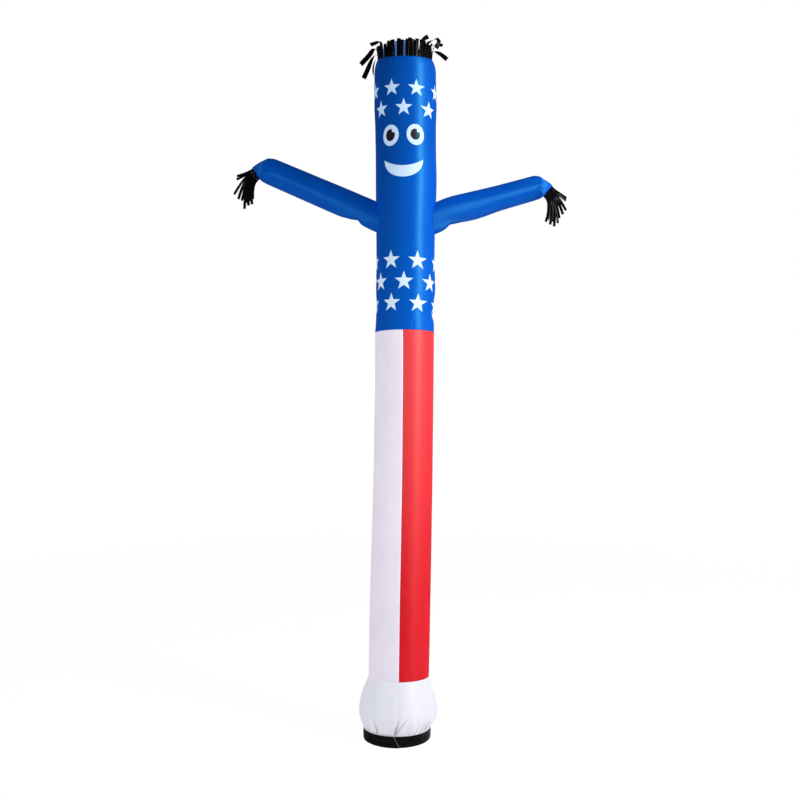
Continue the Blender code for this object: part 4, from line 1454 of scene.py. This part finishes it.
# %% The strap's sizes
STRAP_CENTRE = -0.0137
STRAP_RADIUS = 0.1515       # to its outer face
STRAP_HEIGHT = 0.042        # at the sides
STRAP_TIP = 0.009           # how much higher in front
STRAP_END = -4.5            # azimuth of the outer end's top corner
STRAP_SLANT = 9.0           # degrees that its bottom corner lies further round
STRAP_OVERLAP = 63.0        # degrees that lie double
STRAP_CLIMB = 18.0          # degrees over which the outer end rises onto the inner
STRAP_CLOTH = 0.0016
STRAP_STEP = 0.002 + GAP    # how much further out the outer end lies
STRAP_BOW = 0.0012          # how much further out its middle stands than its edges
# slack waves that lean across the strap: height, lean, pitch, seed
STRAP_SLACK = ((0.0008, 0.012, 0.07, 2.0), (0.0008, -0.020, 0.023, 5.0))
SLACK_ON_LAP = 0.6          # share of the bow and the waves that the outer end has
print("the strap goes", 360.0 + STRAP_OVERLAP, "degrees round")

# %% The strap
def strap_place(a, b):
    start = STRAP_END - STRAP_OVERLAP
    end = STRAP_END + 360.0 + STRAP_SLANT * (1.0 - b)
    degrees = start + (end - start) * a
    laps = max(0.0, min(1.0, (degrees - start - (360.0 - STRAP_CLIMB)) / STRAP_CLIMB))
    radius = STRAP_RADIUS + STRAP_STEP * laps * laps * (3 - 2 * laps)
    azimuth = math.radians(degrees)
    height = (STRAP_HEIGHT + STRAP_TIP * math.cos(azimuth)) * b
    bow = STRAP_BOW * (math.sin(math.pi * b) ** 0.5 - 1.0)
    across = azimuth * MEAN_RADIUS
    slack = sum(high * uneven_wave(across + lean * b, pitch, seed)
                for high, lean, pitch, seed in STRAP_SLACK)
    share = 1.0 if laps == 0.0 else SLACK_ON_LAP
    radius += (bow + slack * math.sin(math.pi * b)) * share
    return Vector((STRAP_CENTRE + radius * math.sin(azimuth), -radius * math.cos(azimuth), height))


def strap_flat(a, b):
    return (a * STRAP_LONG, b * STRAP_HEIGHT)


strap = cloth_grid("black_strap", 220, 12, strap_place, strap_flat)
give_thickness(strap, STRAP_CLOTH)
finish_piece(strap, ["base_band"], black_webbing)

# %% [markdown]
# ## Film
# The fringes are cut from thin glossy film. It could be plain black gloss, but real
# film is drawn from a roll and keeps fine streaks along its length, which break up the
# shine. A noise that is stretched along the ribbon gives them. The film can also glow,
# as painted light, which keeps the short blue ribbons bright among the black ones that
# shade them.

# %% The film's shader
FILM = 0.00030              # thickness of the film
STREAKS = 900.0             # scale of the streaks across a ribbon
STREAK_LENGTHS = 18.0       # and along it


def film(name, pale, deep, glow=0.0):
    """Glossy plastic film with fine lengthwise streaks; glow is painted light in its own colour."""
    tree = Tree(name)
    flat, across, along = tree.cloth_place()
    cloud = tree.noise(flat, 30.0, 4.0)
    streak = tree.noise(tree.stretched(across * STREAKS, along * STREAK_LENGTHS), 1.0, 3.0)
    bump = tree.wire("ShaderNodeBump", "Normal", None, {
        "Strength": 0.45,
        "Distance": 0.0010,
        "Height": streak * 0.25 + cloud * 0.6,
    })
    shade = tree.mix((cloud * 0.6 + streak * 0.4).ramp(0.3, 0.75), deep, pale)
    surface = tree.wire("ShaderNodeBsdfPrincipled", "BSDF", None, {
        "Base Color": shade,
        "Emission Color": shade,
        "Emission Strength": glow,
        "Roughness": streak * 0.12 + 0.16,
        "Normal": bump,
        "Specular IOR Level": 0.08,
    })
    return tree.finish(surface)


black_film = film("black_film", colour(0.004, 0.004, 0.005), colour(0.0015, 0.0015, 0.002))
# Painted light: the blue film's glow brightens the short blue ribbons that stand shaded among the
# black ones.
blue_film = film("blue_film", colour(0.090, 0.230, 0.700), colour(0.060, 0.170, 0.560), 0.5)
print("films:", black_film.name, blue_film.name)

# %% [markdown]
# ## Ribbons
# Two rows of black ribbons and a few short blue ones stand in the rim, where air lifts
# them, and some have bent over outside it. A black fringe hangs from each hand's seam.
# Curves with a flat bevel would make ribbons quickly, but they twist where they like.
# Here every ribbon is a narrow grid along a smooth path. It curls a little across its
# width, and turns as it goes by an amount that is known at each step.

# %% A path and a ribbon along it
RIBBON_STEPS = 16           # straight lengths in a ribbon
RIBBON_WIDE = 4             # faces across it
CURL_SHARE = 0.35           # share of its length over which a ribbon begins to curl
FLAT_SHIFT = 0.013          # how far apart two ribbons' streaks are laid out, for each point


def smooth_path(points, turns, steps):
    """Points and turns evenly along a smooth line through the given ones."""
    xs = [0.0]
    for low, high in zip(points, points[1:]):
        xs.append(xs[-1] + (high - low).length)
    readers = [smooth_column([(x, row[n]) for x, row in zip(xs, points)], 1) for n in range(3)]
    turn_reader = smooth_column(list(zip(xs, turns)), 1)
    path = []
    for k in range(steps + 1):
        x = xs[-1] * k / steps
        path.append((Vector([read(x) for read in readers]), math.radians(turn_reader(x)), x))
    return path


def add_ribbon(parts, path, across, through, width, curl):
    """Add a ribbon to parts, which holds points, faces and places on the flat film."""
    points, faces, flats = parts
    total = path[-1][2]
    first = len(points)
    for k, (here, turn, x) in enumerate(path):
        before = path[max(k - 1, 0)][0]
        after = path[min(k + 1, len(path) - 1)][0]
        along = (after - before).normalized()
        across = (across - along * across.dot(along)).normalized()
        square = along.cross(across)
        if square.dot(through) < 0.0:
            square = -square
        through = square
        wide = across * math.cos(turn) + through * math.sin(turn)
        thick = through * math.cos(turn) - across * math.sin(turn)
        bend = curl * min(1.0, x / (CURL_SHARE * total))
        for n in range(RIBBON_WIDE + 1):
            side = n / RIBBON_WIDE - 0.5
            bow = bend * (0.25 - side * side) * 4.0
            points.append(here + wide * side * width + thick * bow)
            flats.append((side * width + first * FLAT_SHIFT, x))
    row = RIBBON_WIDE + 1
    for k in range(len(path) - 1):
        for n in range(RIBBON_WIDE):
            a = first + k * row + n
            faces.append((a, a + 1, a + row + 1, a + row))


print("faces in a ribbon:", RIBBON_STEPS * RIBBON_WIDE)

# %% A fringe from its ribbons
def fringe_piece(name, parts):
    """The object of a fringe, with its film's thickness."""
    points, faces, flats = parts
    mesh = bpy.data.meshes.new(name)
    mesh.from_pydata(points, [], faces)
    mesh.shade_smooth()
    layer = mesh.uv_layers.new(name=FLAT_MAP)
    places = np.array([flats[corner.vertex_index] for corner in mesh.loops], np.float32)
    layer.uv.foreach_set("vector", places.ravel())
    piece = bpy.data.objects.new(name, mesh)
    scene.collection.objects.link(piece)
    give_thickness(piece, FILM, 0.0)
    return piece


print("film is made", FILM * 1000, "mm thick")

# %% [markdown]
# ## The crown
# The crown's two rows stand in step: each inner ribbon fills the space between two
# outer ones. Together they look solid black but for a few slits. An array round the rim
# would be too even. So the rows are filled between the slits by a loop, a seeded random
# draw gives each ribbon its own height and lean, and the few that bend over outside
# have their paths listed one by one.

# %% Rows, slits and crest of the crown
OUTER_ROW = 0.1165          # radius to the outer face of each row
INNER_ROW = 0.1141
BLUE_ROW = 0.1112
ROW_THICK = 0.002           # of each row's solid, whose middle the ribbons follow
FRINGE_STRIP = 0.024        # height of the uncut strip under the ribbons
FRINGE_FOOT = 2.974         # height where the ribbons part
CROWN_RIBBON = 6.8          # degrees that a ribbon takes up
CROWN_FULL = 8.3            # degrees that it is wide, so that neighbours just lap
CROWN_PITCH = 8.2           # most degrees from one ribbon to the next
STRAY_WIDTH = 1.25          # the bent ribbons spread this much wider
# azimuth and half width of each slit, in degrees
PARTINGS = (
    (-50.4, 2.4),
    (-19.3, 2.6),
    (-1.4, 2.5),
    (29.6, 0.9),
    (54.5, 0.8),
    (70.0, 0.8),
    (110.0, 0.8),
    (125.5, 0.8),
    (150.4, 1.1),
)
CREST_SCALE = 1.07          # the heights below are multiplied by this
# azimuth, height of the ribbons there
CROWN_CREST = (
    (-60.0, 0.050),
    (-48.0, 0.054),
    (-34.0, 0.062),
    (-22.0, 0.070),
    (-12.0, 0.064),
    (-2.0, 0.068),
    (12.0, 0.066),
    (30.0, 0.065),
    (60.0, 0.060),
    (100.0, 0.054),
    (140.0, 0.062),
    (180.0, 0.066),
    (240.0, 0.058),
    (280.0, 0.048),
    (300.0, 0.050),
)
# azimuth, height
BLUE_RIBBONS = ((-57.5, 0.060), (-37.0, 0.044), (-19.6, 0.064), (-1.5, 0.066))
print("slits in the crown:", len(PARTINGS))

# %% Ribbons that have bent over
# azimuth of a ribbon that bends over, then its points as sideways, deep, up and turn
STRAYS = (
    (248.0, ((0.000, 0.001, 0.016, 0), (-0.012, 0.004, 0.021, 10), (-0.028, 0.008, 0.000, 30),
             (-0.032, 0.012, -0.030, 35), (-0.029, 0.013, -0.058, 10))),
    (263.0, ((0.000, 0.000, 0.020, 0), (-0.008, 0.000, 0.030, 5), (-0.026, 0.003, 0.012, 40),
             (-0.046, 0.006, -0.033, 85), (-0.063, 0.008, -0.069, 95))),
    (281.0, ((-0.003, -0.001, 0.024, 0), (-0.007, -0.003, 0.048, 0), (-0.018, -0.006, 0.045, 25),
             (-0.036, -0.010, 0.020, 80), (-0.074, -0.014, -0.021, 95))),
    (301.0, ((-0.002, -0.002, 0.030, 0), (-0.005, -0.004, 0.060, 0), (-0.012, -0.008, 0.067, 20),
             (-0.026, -0.012, 0.060, 45), (-0.049, -0.018, 0.050, 60))),
    (38.0, ((0.003, -0.006, 0.030, 0), (0.009, -0.014, 0.060, 0), (0.020, -0.020, 0.071, 10),
            (0.033, -0.026, 0.0755, 25))),
    (47.0, ((0.002, -0.003, 0.030, 0), (0.007, -0.009, 0.056, 0), (0.024, -0.014, 0.066, -20),
            (0.045, -0.018, 0.074, -50), (0.054, -0.018, 0.062, -60), (0.042, -0.018, 0.034, -60))),
    (62.0, ((0.004, -0.002, 0.028, 0), (0.010, -0.005, 0.050, 0), (0.032, -0.010, 0.053, -40),
            (0.061, -0.014, 0.050, -60))),
    (78.0, ((0.003, -0.001, 0.020, 0), (0.009, -0.002, 0.034, -10), (0.034, -0.003, 0.025, -60),
            (0.069, -0.004, -0.001, -80))),
)
print("bent ribbons:", len(STRAYS))

# %% Azimuths of the crown's ribbons
def crown_rows():
    """Azimuths of the outer and the inner row's ribbons, between the slits."""
    outer = []
    inner = []
    ends = PARTINGS + ((PARTINGS[0][0] + 360.0, PARTINGS[0][1]),)
    for low, high in zip(ends, ends[1:]):
        first = low[0] + low[1] + CROWN_RIBBON / 2
        last = high[0] - high[1] - CROWN_RIBBON / 2
        count = math.floor((last - first) / CROWN_PITCH + 0.3) + 1
        if count == 1:
            outer.append((first + last) / 2)
            inner.append((first + last) / 2)
            continue
        step = (last - first) / (count - 1)
        outer.extend(first + step * k for k in range(count))
        inner.extend(first + step * (k + 0.5) for k in range(count - 1))
    return outer, inner


outer, inner = crown_rows()
strays = {}
for azimuth, rows in STRAYS:
    nearest = min(outer, key=lambda place: abs(place - azimuth))
    strays[nearest] = ([Vector(row[:3]) for row in rows], [float(row[3]) for row in rows])
print("crown ribbons:", len(outer), "outer,", len(inner), "inner,", len(BLUE_RIBBONS), "blue")

# %% How each kind of ribbon stands
CROWN_PUSH = 0.0022         # most that a ribbon leans round the rim
CREST_SPREAD = (-0.007, 0.005)      # how much lower or higher than the crest
NOD = (0.8, 2.2)            # lean of a ribbon's tip, as a share of its own lean
TWIST = 14.0                # most degrees that it turns
OUTER_LEAN = (0.003, 0.007)
INNER_LEAN = (0.0005, 0.0020)
BLUE_LEAN = (0.0035, 0.0080)        # of a blue ribbon's lower part and of its tip


def crown_directions(azimuth):
    """Outwards from the rim, and along it."""
    angle = math.radians(azimuth)
    return (Vector((math.sin(angle), -math.cos(angle), 0.0)),
            Vector((math.cos(angle), math.sin(angle), 0.0)))


def standing_ribbon(rng, azimuth, lean):
    outward, round_way = crown_directions(azimuth)
    height = float(np.interp(azimuth, *zip(*CROWN_CREST))) * CREST_SCALE
    height += rng.uniform(*CREST_SPREAD)
    push = round_way * rng.uniform(-CROWN_PUSH, CROWN_PUSH)
    nod = rng.uniform(*NOD)
    twist = rng.uniform(-TWIST, TWIST)
    points = []
    for rise, out in ((0.25, 0.30), (0.62, 0.60), (0.92, 0.90), (1.00, nod)):
        points.append(outward * lean * out + push * rise + Vector((0.0, 0.0, height * rise)))
    return points, [0.0, 0.3 * twist, 0.8 * twist, twist]


rng = random.Random(7)


def outer_ribbon(azimuth):
    if azimuth in strays:
        return strays[azimuth]
    return standing_ribbon(rng, azimuth, rng.uniform(*OUTER_LEAN))


def inner_ribbon(azimuth):
    return standing_ribbon(rng, azimuth, -rng.uniform(*INNER_LEAN))


def blue_ribbon(azimuth):
    outward, _round_way = crown_directions(azimuth)
    up = Vector((0.0, 0.0, dict(BLUE_RIBBONS)[azimuth]))
    return [up * rise - outward * lean for rise, lean in zip((0.3, 1.0), BLUE_LEAN)], [0.0, 0.0]


print("a blue ribbon's points:", len(blue_ribbon(BLUE_RIBBONS[0][0])[0]) + 2)

# %% The crown
def make_crown_row(name, node, radius, azimuths, ribbon, material, curl):
    parts = ([], [], [])
    centre = BLUE_LEVELS[-1][1]
    middle = radius - ROW_THICK / 2
    for azimuth in azimuths:
        outward, round_way = crown_directions(azimuth)
        low = Vector((centre, 0.0, FRINGE_FOOT - FRINGE_STRIP)) + outward * middle
        root = low + Vector((0.0, 0.0, FRINGE_STRIP))
        offsets, turns = ribbon(azimuth)
        points = [low, root] + [root + offset for offset in offsets]
        path = smooth_path(points, [0.0, 0.0] + turns, RIBBON_STEPS)
        width = math.radians(CROWN_FULL) * middle * (STRAY_WIDTH if azimuth in strays else 1.0)
        add_ribbon(parts, path, round_way, outward, width, curl)
    piece = fringe_piece(name, parts)
    finish_piece(piece, [node], material)
    return piece


crown = [
    make_crown_row("crown_outer", "head_fringe_outer", OUTER_ROW, outer,
                   outer_ribbon, black_film, 0.0003),
    make_crown_row("crown_inner", "head_fringe_inner", INNER_ROW, inner,
                   inner_ribbon, black_film, 0.0002),
    make_crown_row("crown_blue", "head_fringe_blue", BLUE_ROW,
                   [azimuth for azimuth, _height in BLUE_RIBBONS], blue_ribbon, blue_film, 0.0006),
]

# %% [markdown]
# ## The hands
# Each hand is a fringe on a strip of film, sewn into the sleeve's flat end. The strip
# shows beside the seam before it splits into ribbons, which fan outwards and hang. They
# could fall by simulation, but real film keeps the set of its roll and sticks out. So a
# table gives each ribbon's tip, and a curve with one bend leads from the strip to it.

# %% Sizes and tips of the hands' ribbons
HAND_STRIP = 0.015          # width of the strip
HAND_TUCK = 0.003           # how much of the strip is sewn inside the sleeve's end
HAND_STRIP_SHARE = 0.90     # of the seam
HAND_STRIP_STEPS = 30
HAND_STRIP_WAVE = (0.0006, 0.15, 0.031, 1.0)    # height, the seam's length in it, pitch, seed
HAND_RIBBON = 0.0118
HAND_LAP = 0.002            # how far a ribbon reaches back onto the strip
HAND_BEND = 0.35            # how far out a ribbon bends, as a share of its length
HAND_TURN = 0.75            # share of the turns below that a ribbon makes
HAND_CURL = 0.0008
HAND_STAGGER = 0.0006       # every second ribbon lies this much in front of the others
HAND_STEPS = 4
# from the far end of the seam: outwards, down, deeper than the root, turn in degrees
LEFT_TIPS = (
    (0.097, 0.001, 0.030, 50),
    (0.094, 0.018, 0.012, 60),
    (0.105, 0.083, 0.020, 75),
    (0.082, 0.090, 0.012, 45),
    (0.083, 0.106, 0.010, 80),
    (0.062, 0.104, 0.006, 60),
    (0.064, 0.115, 0.004, 95),
    (0.052, 0.136, 0.000, 50),
    (0.050, 0.152, -0.002, 85),
    (0.036, 0.128, -0.006, 65),
    (0.029, 0.140, -0.010, 90),
    (0.018, 0.122, -0.014, 55),
    (0.010, 0.137, -0.018, 85),
    (0.004, 0.116, -0.024, 60),
)
RIGHT_TIPS = (
    (0.094, 0.022, 0.028, -50),
    (0.089, 0.035, 0.016, -60),
    (0.089, 0.078, 0.020, -75),
    (0.070, 0.082, 0.012, -45),
    (0.072, 0.097, 0.010, -80),
    (0.050, 0.100, 0.006, -60),
    (0.053, 0.115, 0.003, -90),
    (0.045, 0.138, 0.000, -50),
    (0.028, 0.152, -0.002, -85),
    (0.016, 0.132, -0.006, -65),
    (0.007, 0.146, -0.010, -90),
    (-0.004, 0.126, -0.014, -55),
    (-0.015, 0.136, -0.020, -85),
    (-0.010, 0.112, -0.026, -60),
)
print("ribbons in a hand:", len(LEFT_TIPS))

# %% Two hands
def hand_strip(parts, far, seam, outward, through):
    """The strip of film along a sleeve's flat seam."""
    low_end, high_end = 0.5 - HAND_STRIP_SHARE / 2, 0.5 + HAND_STRIP_SHARE / 2
    high, length, pitch, seed = HAND_STRIP_WAVE
    path = []
    for k in range(HAND_STRIP_STEPS + 1):
        share = low_end + (high_end - low_end) * k / HAND_STRIP_STEPS
        ripple = high * uneven_wave(share * length, pitch, seed)
        place = far + seam * share + outward * (HAND_STRIP / 2 - HAND_TUCK) + through * ripple
        path.append((place, 0.0, seam.length * share))
    add_ribbon(parts, path, outward, through, HAND_STRIP, 0.0)


def make_hand(name, tips):
    sleeve = SLEEVES[name]
    top_reach, top_lift, under_reach, under_lift, depth, _roll = sleeve.end
    deep = Vector((0, depth, 0))
    far = sleeve.start + sleeve.along * top_reach + sleeve.upward * top_lift + deep
    near = sleeve.start + sleeve.along * under_reach + sleeve.upward * under_lift - deep
    seam = near - far
    outward = Vector((seam.z, 0.0, -seam.x)).normalized()
    if outward.x * sleeve.side < 0.0:
        outward = -outward
    through = seam.normalized().cross(outward)
    pitch = HAND_STRIP_SHARE / len(tips)
    parts = ([], [], [])
    hand_strip(parts, far, seam, outward, through)
    seam_middle = (far + near) / 2
    for k, (out, down, deeper, turn) in enumerate(tips):
        share = 0.5 + (k + 0.5 - len(tips) / 2) * pitch
        root = far + seam * share + outward * (HAND_STRIP - HAND_TUCK)
        root = root + through * (HAND_STAGGER if k % 2 else -HAND_STAGGER)
        tip = Vector((seam_middle.x + sleeve.side * out, root.y + deeper, seam_middle.z - down))
        bend = root + outward * (tip - root).length * HAND_BEND
        points = [root - outward * HAND_LAP]
        turns = [0.0]
        for step in range(1, HAND_STEPS + 1):
            t = step / HAND_STEPS
            points.append(root * (1 - t) ** 2 + bend * 2 * t * (1 - t) + tip * t ** 2)
            turns.append(HAND_TURN * turn * min(1.0, 1.5 * t))
        path = smooth_path(points, turns, RIBBON_STEPS)
        add_ribbon(parts, path, seam.normalized(), through, HAND_RIBBON, HAND_CURL)
    piece = fringe_piece("hand_" + name, parts)
    finish_piece(piece, ["hand_fringe_" + name], black_film)
    return piece


hand_rows = (("left", LEFT_TIPS, (0.40, 0.62)), ("right", RIGHT_TIPS, (0.40, 0.56)))
for name, tips, sleeve_cut in hand_rows:
    hand = make_hand(name, tips)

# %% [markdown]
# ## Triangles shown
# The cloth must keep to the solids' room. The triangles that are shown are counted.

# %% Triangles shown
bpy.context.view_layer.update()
triangles = 0
graph = bpy.context.evaluated_depsgraph_get()
for piece in scene.objects:
    if piece.type == "MESH" and not piece.hide_render:
        shown = piece.evaluated_get(graph).to_mesh()
        shown.calc_loop_triangles()
        triangles += len(shown.loop_triangles)
print("triangles shown:", triangles)
